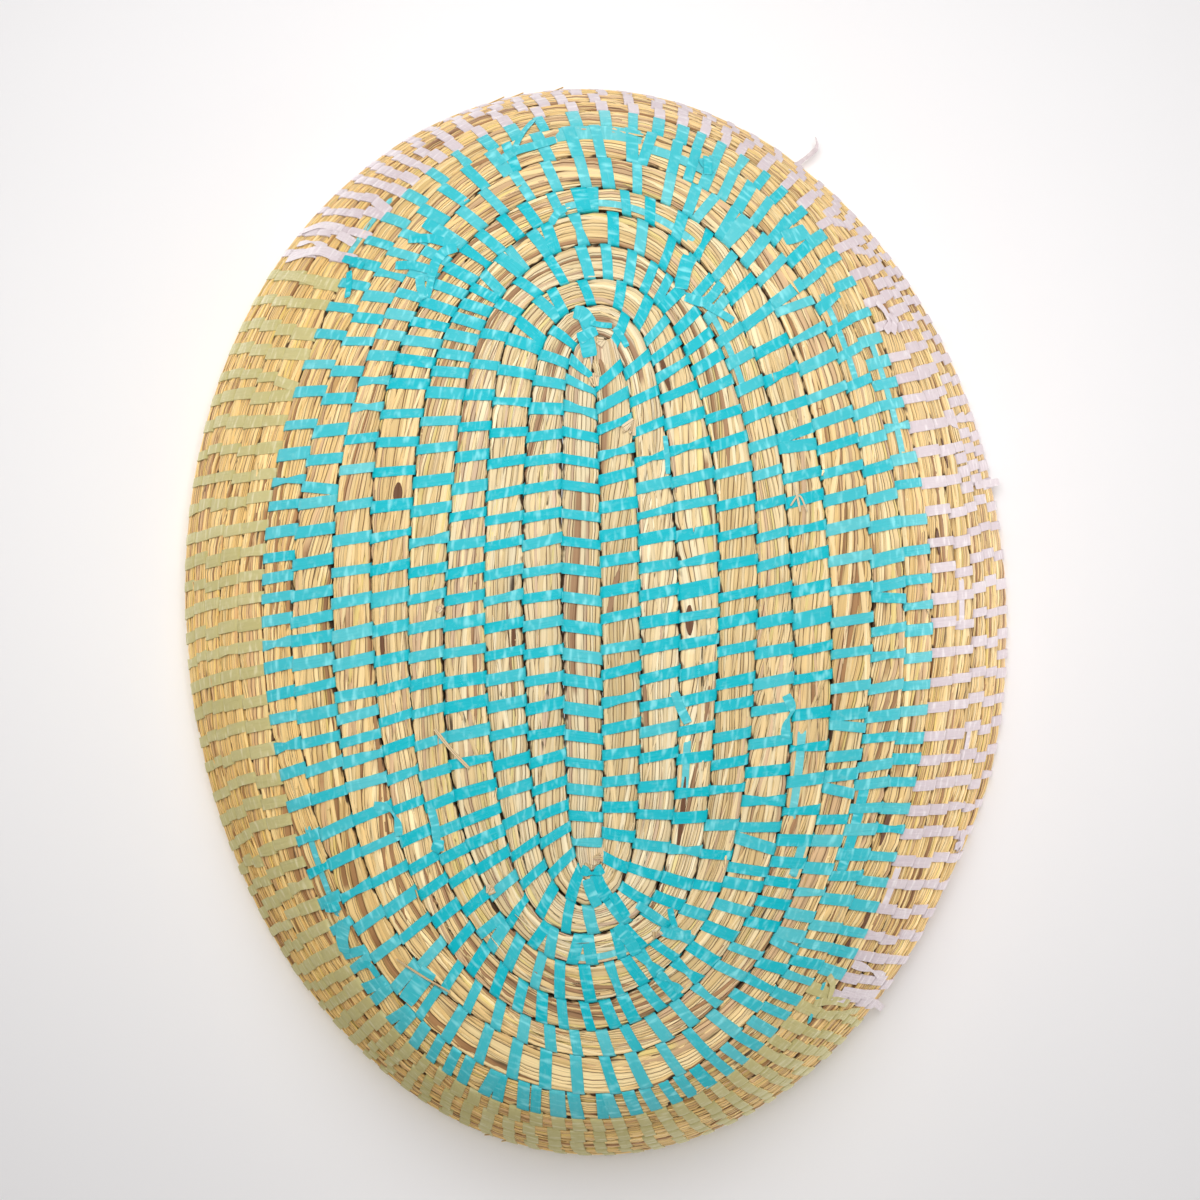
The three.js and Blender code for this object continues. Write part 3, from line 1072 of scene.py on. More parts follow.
    def grids(self, from_deg: float, to_deg: float, stitches: Array) -> tuple[Array, Grids]:
        """The bundle's grid: rings along it, closer together at its ends, and columns that follow the stems.

        Args:
            from_deg: The first turn angle.
            to_deg: The last turn angle.
            stitches: The turn angles of the stitches, in order.

        Returns:
            The turn angle of each ring, and the grid.
        """
        self.rng = np.random.default_rng(self.seed)
        table_turn, table_along = self.lane.lengths(from_deg, to_deg)
        whole = table_along[-1]
        even = np.linspace(0, whole, max(int(whole / self.ring_spacing), self.least_rings))
        near_end = self.end_round * np.array(self.end_rings)
        along = np.sort(np.concatenate([even, near_end, whole - near_end]))
        turn = np.interp(along, table_along, table_turn)
        held = np.interp(stitches, table_turn, table_along)
        nearest = np.abs(along[:, None] - held).min(axis=1)
        share = self.shares(along)
        lift = self.lifts(along, nearest)
        points = self.lane.points(np.broadcast_to(turn[:, None], share.shape), share, lift)
        number = np.append((np.arange(self.stems)[:, None] + self.inside).ravel(), self.stems)
        uv = uv_grid(number, along[:, None])
        colours = np.repeat(self.colours(turn, along), self.columns_a_stem, axis=1)
        # The "groove" attribute carries the mask of the painted groove shade.
        depth = self.groove_shade_mask(turn, share, nearest)
        outwards = np.broadcast_to(self.outwards(turn)[:, None], share.shape)
        values = {"groove": depth[None], "outwards": outwards[None]}
        valleys = tuple(range(0, share.shape[1], self.columns_a_stem))
        return turn, Grids(points[None], uv[None], {"stem_colour": colours[None]}, values, True, valleys)


@dataclass
class GrassCoil:
    """All the grass rows: the start bundle and the coil's turns, each its own piece."""

    form: BasketForm
    material: Material
    start_ends_deg: Pair = (-164.0, -4.0)
    start_seed: int = 8
    tip_deg: float = 5.0
    hair_deg: float = 1e-6
    # The coil's solids, and how many turns each has.
    solids: tuple[tuple[str, int], ...] = (
        ("base_coil", 6),
        ("shoulder_coil", 2),
        ("lower_wall_coil", 2),
        ("upper_wall_coil", 2),
        ("rim_coil", 1),
    )

    def build(self, plan: "StitchPlan") -> None:
        """Builds the start bundle, then cuts the coil's grid at the line where the colours change.

        Args:
            plan: Where the stitches are.
        """
        start = GrassBundle(StartLane(self.form), self.start_seed)
        _, grids = start.grids(*self.start_ends_deg, plan.start_turns())
        place(grids.build("start_grass", self.material), "grass", "start_bundle")
        turn, grids = GrassBundle(Lane(self.form)).grids(self.tip_deg, self.form.end_deg, plan.middle)
        nodes = [name for name, turns in self.solids for _ in range(turns)]
        from_deg = self.tip_deg
        for number, node in enumerate(nodes, start=1):
            to_deg = self.form.olive_from_deg + FULL_TURN * number
            first, last = np.searchsorted(turn, np.array([from_deg, to_deg]) - self.hair_deg)
            part = grids.cut(slice(int(first), int(last) + 1))
            place(part.build(f"grass_turn_{number}", self.material), "grass", node)
            from_deg = to_deg


@dataclass
class LooseStems:
    """Single flattened stems that lie a little askew on the outside of the rows, under the stitches."""

    lane: Lane
    from_deg: float
    to_deg: float
    count: int
    seed: int
    samples: int = 10
    lengths: Pair = (0.016, 0.06)
    widths: Pair = (0.0006, 0.0019)
    # The middle and the spread of the shares of the section that they cross in a metre.
    slants: Pair = (-1.6, 1.8)
    sides: Pair = (0.6, 0.9)
    side_limits: Pair = (0.64, 0.86)
    shades: Pair = (0.88, 1.1)
    half_height: float = 0.00022
    sunk: float = 0.45
    round_length: float = 0.040
    bluntness: int = 5
    broken_share: float = 0.05
    bend_from: float = 0.86
    bends: Pair = (0.0003, 0.0012)
    section_across: Values = (-1.0, -0.5, 0.5, 1.0, 0.0)
    section_level: Values = (-0.2, 1.0, 1.0, -0.2, -1.0)
    section_uv: Values = (0.04, 0.3, 0.7, 0.96, 1.5, 2.04)

    def grids(self) -> Grids:
        """The stems: a low five-sided section carried along the row at a slant, narrowing to both ends.

        A broken stem's end bends away from the row by the square of the way along it.

        Returns:
            One grid a stem.
        """
        rng = np.random.default_rng(self.seed)
        size = (self.count, 1)
        table_turn, table_along = self.lane.lengths(self.from_deg, self.to_deg)
        length = rng.uniform(*self.lengths, size)
        begun = rng.uniform(0.0, 1.0, size) * (table_along[-1] - length)
        share_along = np.linspace(0, 1, self.samples)
        along = begun + length * share_along
        turn = np.interp(along, table_along, table_turn)
        slant = rng.normal(*self.slants, size) * length
        middle = rng.uniform(*self.sides, size) + slant * (share_along - 0.5)
        width = rng.uniform(*self.widths, size) * (1 - np.abs(2 * share_along - 1) ** self.bluntness)
        across = (width / self.round_length / 2)[..., None] * np.array(self.section_across)
        share = np.clip(middle, *self.side_limits)[..., None] + across
        broken = rng.random(size) < self.broken_share
        bent = np.clip((share_along - self.bend_from) / (1 - self.bend_from), 0, 1) ** 2
        bent = bent * rng.uniform(*self.bends, size)
        lift = self.half_height * (np.array(self.section_level) - self.sunk)
        lift = lift + np.where(broken, bent, 0.0)[..., None]
        points = self.lane.points(np.broadcast_to(turn[..., None], share.shape), share, lift)
        bundle = GrassBundle(self.lane)
        chosen = rng.choice(len(bundle.palette), size=self.count, p=bundle.weights)
        colour = np.array(bundle.palette)[chosen] * rng.uniform(*self.shades, size)
        colour = colour * bundle.tint(turn[:, 0])
        colours = np.broadcast_to(colour[:, None, None, :], points.shape)
        number = rng.integers(0, MARKINGS, (self.count, 1, 1)).astype(float)
        uv = uv_grid(number + np.array(self.section_uv), along[..., None])
        groove = np.zeros(points.shape[:3])
        return Grids(points, uv, {"stem_colour": colours}, {"groove": groove}, True, (0, 3))


# Loose lengths laid on the outside


@dataclass
class OuterFace:
    """The outside face of the rows, on which loose lengths lie, and where it shows in the picture."""

    form: BasketForm
    view: PictureView
    half_thickness: float = Lane.half_thickness
    least_row: float = 0.1
    most_rows: float = 14.0
    row_step: float = 0.05
    turn_step: float = 0.5
    rows: Array = field(init=False)
    turns: Array = field(init=False)
    shown: Array = field(init=False)

    def __post_init__(self) -> None:
        """Works out where an even grid of rows and turn angles shows."""
        rows = np.arange(self.least_row, self.most_rows, self.row_step)
        turns = np.arange(self.turn_step / 2, FULL_TURN, self.turn_step)
        row, turn = np.meshgrid(rows, turns, indexing="ij")
        self.rows, self.turns = row.ravel(), turn.ravel()
        self.shown = self.view.project(self.at(self.rows, self.turns)[0])

    def at(self, row: Array, turn: Array) -> Arrays:
        """Points of the outside face: straight from a row's inner groove to its outer one, moved out.

        Args:
            row: Rows.
            turn: Turn angles, of the same shape.

        Returns:
            Points and outward directions, each with a last axis of three.
        """
        begun = np.mod(turn, FULL_TURN) / FULL_TURN
        inner = np.maximum(np.floor(row - begun) + begun, self.least_row)
        side = (row - inner)[..., None]
        near, far = self.form.surface(inner, turn), self.form.surface(inner + 1, turn)
        near_normal, far_normal = self.form.slopes(inner, turn)[0], self.form.slopes(inner + 1, turn)[0]
        normal = unit(near_normal + (far_normal - near_normal) * side)
        return near + (far - near) * side - self.half_thickness * normal, -normal

    def seek(self, places: Array) -> Array:
        """The number of the grid's point that shows nearest to each picture place, of shape (n,)."""
        return np.linalg.norm(self.shown[None] - places[:, None], axis=-1).argmin(axis=1)

    def find(self, places: Array) -> Arrays:
        """The face's points that show at picture places: the nearest of the grid, moved by what is left.

        Args:
            places: Places in pixels, of shape (n, 2).

        Returns:
            Points and outward directions, each of shape (n, 3).
        """
        nearest = self.seek(places)
        points, normals = self.at(self.rows[nearest], self.turns[nearest])
        right, top, forward = self.view.axes()
        left_over = places - self.shown[nearest]
        left_over = left_over * ((self.view.distance + points @ forward) / self.view.focal_px)[:, None]
        return points + left_over[:, :1] * right - left_over[:, 1:] * top, normals


def smooth_path(knots: Array, count: int) -> Array:
    """Even samples of a smooth curve through points: cubic pieces with central differences as slopes.

    Args:
        knots: Rows of values to pass through, of shape (n, m), the first three of them a point.
        count: How many samples to take.

    Returns:
        Samples, of shape (count, m).
    """
    chord = run_lengths(knots[:, :3])
    slope = np.gradient(knots, chord, axis=0)
    at = np.linspace(0, chord[-1], count)
    first = np.clip(np.searchsorted(chord, at, side="right") - 1, 0, len(chord) - 2)
    span = (chord[first + 1] - chord[first])[:, None]
    share = (at - chord[first])[:, None] / span
    begun = (2 * share**3 - 3 * share**2 + 1) * knots[first]
    begun = begun + (share**3 - 2 * share**2 + share) * span * slope[first]
    ended = (3 * share**2 - 2 * share**3) * knots[first + 1]
    return begun + ended + (share**3 - share**2) * span * slope[first + 1]


@dataclass(frozen=True)
class Ribbon:
    """A flat length on the outside of the basket, by the picture places that its middle passes over.

    Lifts are its heights above the rows, one for all those places or one for each. Where a half twist
    turns it over, it narrows.
    """

    places: tuple[Pair, ...]
    width: float
    wear: float = 0.7
    lifts: Values = (0.0004,)
    half_twists: float = 0.0


@dataclass(frozen=True)
class Tail:
    """A flat length that lies along a row under its stitches, from one picture place to another."""

    near: Pair
    far: Pair
    width: float
    wear: float = 0.7
    pointed: float = 0.0


Laid = Ribbon | Tail


@dataclass(frozen=True)
class Knot:
    """A knot: short ribbons laid across each other about one picture place, by seeded chance."""

    place: Pair
    reach: Pair
    strands: int
    seed: int
    width: float = 0.0026
    wear: float = 0.25
    lifts: Pair = (0.0004, 0.0008)
    end_lift: float = 0.0003
    bends: Pair = (2.4, 3.8)
    middle_reach: float = 0.3

    def ribbons(self) -> list[Ribbon]:
        """The knot's ribbons: each goes from one place within its reach, over its middle, to another.

        Returns:
            The ribbons, the highest last.
        """
        rng = np.random.default_rng(self.seed)
        angle = rng.uniform(0, 2 * np.pi, self.strands)
        bend = rng.uniform(*self.bends, self.strands)
        far = np.stack([angle, angle + bend], axis=1)
        ends = np.stack([np.cos(far), np.sin(far)], axis=-1) * np.array(self.reach)
        middles = rng.uniform(-self.middle_reach, self.middle_reach, (self.strands, 2)) * np.array(self.reach)
        paths = np.stack([ends[:, 0], middles, ends[:, 1]], axis=1) + np.array(self.place)
        heights = np.linspace(*self.lifts, self.strands)
        low = self.end_lift
        return [
            Ribbon(tuple(map(tuple, path)), self.width, self.wear, (low, float(high), low))
            for path, high in zip(paths, heights)
        ]


@dataclass(frozen=True)
class Tuft:
    """Short frayed blades that fan out from one picture place about a direction, by seeded chance."""

    place: Pair
    direction_deg: float
    reach: float
    blades: int = 6
    fan_deg: float = 38.0
    reaches: Pair = (0.6, 1.1)
    widths: Pair = (0.0007, 0.0016)
    lifts: Triple = (0.0002, 0.0005, 0.0008)

    def ribbons(self, rng: Rng) -> list[Ribbon]:
        """The tuft's blades, which rise towards their ends.

        Args:
            rng: The seeded source.

        Returns:
            The blades.
        """
        blades = []
        across, down = self.place
        fan = rng.uniform(-self.fan_deg, self.fan_deg, self.blades)
        for angle in np.radians(self.direction_deg + fan):
            length = self.reach * rng.uniform(*self.reaches)
            far = (across + length * math.cos(angle), down - length * math.sin(angle))
            middle = ((across + far[0]) / 2, (down + far[1]) / 2)
            width = rng.uniform(*self.widths)
            blades.append(Ribbon((self.place, middle, far), width, lifts=self.lifts))
        return blades


@dataclass(frozen=True)
class Sheaf:
    """Blades side by side, from even places on one line of the picture to even places on another."""

    near: tuple[Pair, Pair]
    far: tuple[Pair, Pair]
    blades: int
    width: float = 0.0014
    lifts: Triple = (0.0002, 0.0001, -0.0006)
    raggedness: float = 3.0
    ragged_pace: float = 7.0

    def ribbons(self) -> list[Ribbon]:
        """The sheaf's blades, whose first ends are made ragged by a sine.

        Returns:
            The blades.
        """
        share = np.linspace(0, 1, self.blades)[:, None]
        near, far = np.array(self.near, float), np.array(self.far, float)
        ragged = np.array([0.0, self.raggedness]) * np.sin(self.ragged_pace * np.arange(self.blades))[:, None]
        begun = (1 - share) * near[0] + share * near[1] + ragged
        ended = (1 - share) * far[0] + share * far[1]
        paths = np.stack([begun, (begun + ended) / 2, ended], axis=1)
        return [Ribbon(tuple(map(tuple, path)), self.width, lifts=self.lifts) for path in paths]


@dataclass
class LaidRibbons:
    """Ribbons and tails as thin closed bands with a section of six points, on the outside face."""

    face: OuterFace
    samples: int = 22
    half_thickness: float = 0.00009
    tail_lifts: Pair = (0.0002, -0.0001)
    tail_sides: Pair = (0.26, 0.74)
    share_a_side: float = 0.26
    end_width: float = 0.88
    end_width_rise: float = 8.0
    end_thickness_rise: float = 40.0
    twisted_width: float = 0.3
    wear_spread: float = 0.08
    section_across: Values = (1.0, 0.0, -1.0, -1.0, 0.0, 1.0)
    section_level: Values = (1.0, 1.0, 1.0, -1.0, -1.0, -1.0)
    strip_uv: Values = (-1.0, 0.0, 1.0, 1.0, 0.0, -1.0, -1.0)
    stem_uv: Values = (0.03, 1.0, 1.97, 2.03, 3.0, 3.97, 4.03)
    stem_runs: float = 9.0
    sharp_columns: tuple[int, ...] = (0, 2, 3, 5)

    def tail(self, tail: Tail) -> Arrays:
        """One tail's points: even steps along the row that it begins on, at one place across that row.

        Args:
            tail: The tail.

        Returns:
            Points of shape (samples, 6, 3), and lengths along in metres.
        """
        nearest = self.face.seek(np.array([tail.near, tail.far], float))
        row, turn = self.face.rows[nearest], self.face.turns[nearest]
        coil = turn + FULL_TURN * np.floor(row - turn / FULL_TURN)
        side = np.clip(row[0] - coil[0] / FULL_TURN, *self.tail_sides)
        reach = np.mod(coil[1] - coil[0] + FULL_TURN / 2, FULL_TURN) - FULL_TURN / 2
        steps = np.linspace(coil[0] + min(reach, 0), coil[0] + max(reach, 0), self.samples)
        half = tail.width / 2 / self.face.form.row_pitch
        half = half * (1 - tail.pointed * np.linspace(-1, 1, self.samples)[:, None] ** 2)
        share = OUTSIDE + self.share_a_side * (side - 0.5 - half * np.array(self.section_across))
        lift = np.where(np.array(self.section_level) > 0, *self.tail_lifts) + np.zeros((self.samples, 1))
        lift[[0, -1]] = self.tail_lifts[1]
        lane = Lane(self.face.form)
        points = lane.points(np.broadcast_to(steps[:, None], share.shape), share, lift)
        return points, run_lengths(points[:, 1])

    def band(self, ribbon: Ribbon) -> Arrays:
        """One ribbon's points: its flat section stands across the path, narrowed by its twist's cosine.

        Args:
            ribbon: The ribbon.

        Returns:
            Points of shape (samples, 6, 3), and lengths along in metres.
        """
        places = np.array(ribbon.places, float)
        points, normals = self.face.find(places)
        points = points + np.array(ribbon.lifts)[:, None] * normals
        path = smooth_path(np.concatenate([points, normals], axis=1), self.samples)
        middle, normal = path[:, :3], path[:, 3:]
        tangent = unit(np.gradient(middle, axis=0))
        side = unit(np.cross(tangent, normal))
        normal = np.cross(side, tangent)
        share = np.linspace(0, 1, self.samples)[:, None]
        from_end = np.minimum(share, 1 - share)
        roll = np.pi * ribbon.half_twists * (3 * share**2 - 2 * share**3)
        full = np.minimum(1.0, self.end_width_rise * from_end)
        half = ribbon.width / 2 * (self.end_width + (1 - self.end_width) * full)
        half = half * np.maximum(np.abs(np.cos(roll)), self.twisted_width)
        thin = self.half_thickness * np.minimum(1.0, self.end_thickness_rise * from_end)
        across = (half * side)[:, None] * np.array(self.section_across)[:, None]
        level = (thin * normal)[:, None] * np.array(self.section_level)[:, None]
        return middle[:, None] + across + level, run_lengths(middle)

    def bands(self, ribbons: list[Laid]) -> Arrays:
        """The points of ribbons and tails, of shape (n, samples, 6, 3), and their lengths along."""
        made = [self.tail(part) if isinstance(part, Tail) else self.band(part) for part in ribbons]
        return tuple(np.stack(part) for part in zip(*made))

    def strips(self, ribbons: list[Laid], seed: int) -> Grids:
        """Ribbons as lengths of strip.

        Args:
            ribbons: The ribbons and tails.
            seed: The seed of their markings.

        Returns:
            One grid a ribbon.
        """
        rng = np.random.default_rng(seed)
        points, along = self.bands(ribbons)
        count = len(ribbons)
        along = along * MM_A_METRE + rng.uniform(0, MARKINGS, (count, 1))
        across = STRIP_HALF_MM * np.array(self.strip_uv) + rng.uniform(0, MARKINGS, (count, 1, 1))
        uv = uv_grid(across, along[..., None])
        wear = np.array([ribbon.wear for ribbon in ribbons])[:, None, None]
        worn = np.clip(wear + rng.normal(0, self.wear_spread, wear.shape), 0, 1)
        values = {"wear": np.broadcast_to(worn, points.shape[:3])}
        return Grids(points, uv, {}, values, True, self.sharp_columns)

    def stems(self, ribbons: list[Laid], colours: Array, seed: int) -> Grids:
        """Ribbons as loose grass.

        Args:
            ribbons: The ribbons and tails.
            colours: The colour of each.
            seed: The seed of their markings.

        Returns:
            One grid a ribbon.
        """
        rng = np.random.default_rng(seed)
        points, along = self.bands(ribbons)
        count = len(ribbons)
        along = along + rng.uniform(0, self.stem_runs, (count, 1))
        across = np.array(self.stem_uv) + rng.integers(0, MARKINGS, (count, 1, 1)).astype(float)
        uv = uv_grid(across, along[..., None])
        colour = np.broadcast_to(colours[:, None, None, :], points.shape)
        groove = np.zeros(points.shape[:3])
        return Grids(points, uv, {"stem_colour": colour}, {"groove": groove}, True, self.sharp_columns)


# Stitches


@dataclass
class StitchPlan:
    """Where the strip's stitches sit along the coil.

    Each turn repeats the stitches of the turn inside it, straight out from them, or on the wall a little
    behind. Where the rows spread and a gap grows too wide, one more stitch is put in, at times from the
    same hole as its neighbour.
    """

    form: BasketForm
    lane: Lane
    spacing: float = 0.0076
    first_stitch: float = 0.009
    widest_gap: float = 0.0098
    gap_spread: Pair = (0.9, 1.15)
    evening: int = 2
    shared_hole: float = 0.45
    hole_gap: float = 0.25
    lean: float = 0.0042
    wall_lean: float = 0.0019
    lean_spread: Pair = (0.75, 1.2)
    wall_shift: float = 0.0009
    wall_shift_to_right: float = 0.45
    wall_from_row: float = 7.6
    drift: float = 0.0009
    drift_wavelength: float = 0.23
    unevenness: float = 0.0004
    end_margin_deg: float = 4.0
    start_run_deg: Pair = (22.0, 140.0)
    start_between: float = 0.38
    seed: int = 23
    middle: Array = field(init=False)
    inner: Array = field(init=False)
    outer: Array = field(init=False)

    def __post_init__(self) -> None:
        """Works out the even places, moves each by a smooth curve and by chance, and leans the stitches."""
        rng = np.random.default_rng(self.seed)
        tables = self.lane.lengths(self.form.tip_deg, self.form.end_deg + FULL_TURN)
        even, paired = self.even_turns(rng, *tables)
        step = self.lane.outside_step(even)
        moved = self.drift * waves(rng, np.interp(even, *tables), 1, self.drift_wavelength)[:, 0]
        moved = moved + rng.normal(0, self.unevenness, even.size)
        self.middle = even + moved / step
        lean = self.lean + (self.wall_lean - self.lean) * self.on_wall(even)
        lean = lean * rng.uniform(*self.lean_spread, even.size) / step / 2
        inner = self.middle + lean
        before = np.concatenate([inner[:1], inner[:-1]])
        self.inner = np.where(paired, before + self.hole_gap * (inner - before), inner)
        self.outer = self.middle - lean

    def on_wall(self, turn: Array) -> Array:
        """How far the coil has gone from the base onto the wall, from 0 to 1 over one row."""
        return np.clip(self.form.row_at(turn) - self.wall_from_row, 0, 1)

    def straight_out(self, turn: Array) -> Array:
        """The places one turn on that lie straight out from others, moved back a little on the wall.

        What the step from one row to the next goes along the coil is taken off again.

        Args:
            turn: Turn angles in degrees.

        Returns:
            Turn angles about a full turn on, of the same shape.
        """
        repeated = turn + FULL_TURN
        row = self.form.row_at(repeated)
        tangent = self.form.slopes(row, repeated)[1]
        step = np.linalg.norm(tangent, axis=-1)
        across = self.form.surface(row, repeated) - self.form.surface(row - 1, turn)
        ahead = (across * tangent).sum(axis=-1) / step
        shift = self.wall_shift * (1 + self.wall_shift_to_right * np.sin(np.radians(repeated)))
        return repeated - (ahead + shift * self.on_wall(repeated)) / step

    def even_turns(self, rng: Rng, table_turn: Array, table_along: Array) -> Arrays:
        """The stitches' even places, turn by turn, each evened out by the mean of its neighbours.

        Args:
            rng: The seeded source.
            table_turn: Turn angles of the table of lengths.
            table_along: Its lengths.

        Returns:
            Turn angles in degrees, and whether each shares its neighbour's hole.
        """
        first_end = np.interp(self.form.tip_deg + FULL_TURN, table_turn, table_along)
        along = np.arange(self.first_stitch, first_end, self.spacing)
        turns = [np.interp(along, table_along, table_turn)]
        pairs = [np.zeros(along.size, bool)]
        while turns[-1][-1] < self.form.end_deg:
            repeated = self.straight_out(turns[-1])
            along = np.interp(np.concatenate([turns[-1][-1:], repeated]), table_turn, table_along)
            gaps = np.diff(along)
            wide = np.flatnonzero(gaps > self.widest_gap * rng.uniform(*self.gap_spread, gaps.size))
            every = np.concatenate([along[1:], along[wide] + gaps[wide] / 2])
            order = np.argsort(every)
            every = every[order]
            for _ in range(self.evening):
                every[1:-1] = every[1:-1] / 2 + (every[:-2] + every[2:]) / 4
            turns.append(np.interp(every, table_along, table_turn))
            shared = np.concatenate([np.zeros(repeated.size), rng.random(wide.size) < self.shared_hole])
            pairs.append(shared[order].astype(bool))
        even, paired = np.concatenate(turns), np.concatenate(pairs)
        keep = even < self.form.end_deg - self.end_margin_deg
        return even[keep], paired[keep]

    def start_turns(self) -> Array:
        """The turn angles of the start bundle's own stitches, between those of the coil's first run.

        Returns:
            Turn angles in degrees, in order.
        """
        low, high = self.start_run_deg
        first = self.middle[(self.middle > low) & (self.middle < high)]
        first = np.concatenate([[2 * first[0] - first[1]], first])
        return np.sort(-((1 - self.start_between) * first[:-1] + self.start_between * first[1:]))


@dataclass
class StitchRun:
    """Stitches as flat ribbons, each once round the bundle, from the outer groove back to the next stitch.

    Over the outside of the basket a stitch goes from the outer groove to the inner one. Inside the bowl it
    goes on to the outer groove at the next stitch. Its places round the bundle are closer together at
    the corners.
    """

    lane: Lane
    width: float
    seed: int = 41
    outside_shares: Values = (1.0, 0.95, 0.91, 0.892, 0.873, 0.848, OUTSIDE, 0.652, 0.627, 0.608, 0.59, 0.55)
    inside_shares: Values = (0.5, 0.42, 0.39, 0.36, 0.25, 0.14, 0.11, 0.08, 0.0)
    edge_lift: float = -0.0001
    top_lift: float = 0.00030
    section_across: Values = (-1.0, -0.97, 0.0, 0.97, 1.0)
    widths: Pair = (0.84, 1.12)
    wide_share: float = 0.02
    wide_width: float = 1.3
    twisted_share: float = 0.09
    twists: Pair = (0.3, 0.55)
    twist_places: Pair = (0.66, 0.84)
    twist_reach: float = 0.06
    twist_lift: float = 0.0003
    creases: Pair = (-0.00004, 0.00008)
    most_reach_deg: float = 24.0
    round_mm: float = 34.0
    wear_spread: float = 0.13

    def grids(self, inner: Array, outer: Array, following: Array, wear: float) -> Grids:
        """The ribbons: a low flat arch across, carried round the bundle while it moves along it.

        Args:
            inner: Turn angles of the inner ends, outside the basket.
            outer: Turn angles of the outer ends.
            following: Turn angles of the next stitches' outer ends.
            wear: How worn the strip is, from 0 to 1.

        Returns:
            One grid a stitch.
        """
        rng = np.random.default_rng(self.seed + inner.size)
        single = (inner.size, 1)
        share = np.array(self.outside_shares + self.inside_shares)
        over = np.clip((1.0 - share) / 0.5, 0, 1)
        under = np.clip((0.5 - share) / 0.5, 0, 1)
        turn = outer[:, None] + (inner - outer)[:, None] * over + (following - inner)[:, None] * under
        wide = np.where(rng.random(single) < self.wide_share, self.wide_width, 1.0)
        width = self.width * wide * rng.uniform(*self.widths, single)
        twisted = rng.random(single) < self.twisted_share
        twist = np.where(twisted, rng.uniform(*self.twists, single), 0.0)
        twist_at = rng.uniform(*self.twist_places, single)
        narrow = 1 - twist * np.exp(-(((share - twist_at) / self.twist_reach) ** 2))
        across = np.array(self.section_across)
        top = np.abs(across) < 1
        crease = rng.uniform(*self.creases, (*single, 1)) * (across == 0)
        lift = np.where(top, self.top_lift, self.edge_lift) + crease
        lift = lift + (1 - narrow)[..., None] * self.twist_lift * top
        place_round = np.broadcast_to(share[None, :, None], lift.shape)
        step = self.lane.step(turn, np.broadcast_to(share, turn.shape))
        reach = np.clip(width * narrow / 2 / step, 0, self.most_reach_deg)
        points = self.lane.points(turn[..., None] + reach[..., None] * across, place_round, lift)
        along = rng.uniform(0, MARKINGS, single) + (1.0 - share) * self.round_mm
        uv_across = across * STRIP_HALF_MM + rng.uniform(0, MARKINGS, (*single, 1))
        uv = uv_grid(uv_across, along[..., None])
        worn = np.clip(wear + rng.normal(0, self.wear_spread, (*single, 1)), 0, 1)
        return Grids(points, uv, {}, {"wear": np.broadcast_to(worn, lift.shape)}, False, (1, 3))


@dataclass
class Binding:
    """All the stitches, a piece for each length of strip, in the colours that the rows are bound with."""

    form: BasketForm
    plan: StitchPlan
    materials: dict[StripColour, Material]
    cyan_wear: Values = (0.02, 0.03, 0.03, 0.16, 0.04, 0.4, 0.34, 0.36)
    start_wear: float = 0.1
    wall_wear: float = 0.3
    cyan_width: float = 0.0032
    olive_width: float = 0.0035
    lilac_width: float = 0.0031
    start_lean: float = 0.0026
    start_advance: float = 2.5

    def width_of(self, colour: StripColour) -> float:
        """The width of a colour's strip, in metres."""
        widths = {StripColour.CYAN: self.cyan_width, StripColour.OLIVE: self.olive_width}
        return widths.get(colour, self.lilac_width)

    def run(self, colour: StripColour, number: int, from_deg: float, to_deg: float, wear: float) -> None:
        """Builds the stitches of one length of strip, which stand for the solid that binds the same rows.

        Args:
            colour: The strip's colour.
            number: The length's number among those of its colour.
            from_deg: The turn angle where it begins.
            to_deg: The turn angle where it ends.
            wear: How worn it is, from 0 to 1.
        """
        plan = self.plan
        chosen = np.flatnonzero((plan.middle >= from_deg) & (plan.middle < to_deg))
        after = np.minimum(chosen + 1, plan.middle.size - 1)
        name = colour.name.lower()
        run = StitchRun(plan.lane, self.width_of(colour))
        grids = run.grids(plan.inner[chosen], plan.outer[chosen], plan.outer[after], wear)
        piece = grids.build(f"{name}_stitches_{number}", self.materials[colour])
        place(piece, colour.value, f"{name}_binding_{number}")

    def start(self) -> None:
        """Builds the start bundle's own stitches, which lean the other way."""
        turn = self.plan.start_turns()
        lane = StartLane(self.form)
        lean = self.start_lean / lane.outside_step(turn) / 2
        run = StitchRun(lane, self.cyan_width)
        grids = run.grids(turn - lean, turn + lean, turn + self.start_advance * lean, self.start_wear)
        place(grids.build("start_stitches", self.materials[StripColour.CYAN]), StripColour.CYAN.value)

    def build(self) -> None:
        """Builds every length of strip in order."""
        form = self.form
        self.start()
        from_deg = form.tip_deg
        for number, wear in enumerate(self.cyan_wear, start=1):
            to_deg = form.olive_from_deg + FULL_TURN * number
            self.run(StripColour.CYAN, number, from_deg, to_deg, wear)
            from_deg = to_deg
        for number in range(1, form.wall_colour_turns + 1):
            change = from_deg + form.lilac_from_deg - form.olive_from_deg
            self.run(StripColour.OLIVE, number, from_deg, change, self.wall_wear)
            self.run(StripColour.LILAC, number, change, from_deg + FULL_TURN, self.wall_wear)
            from_deg = from_deg + FULL_TURN


# Loose ends


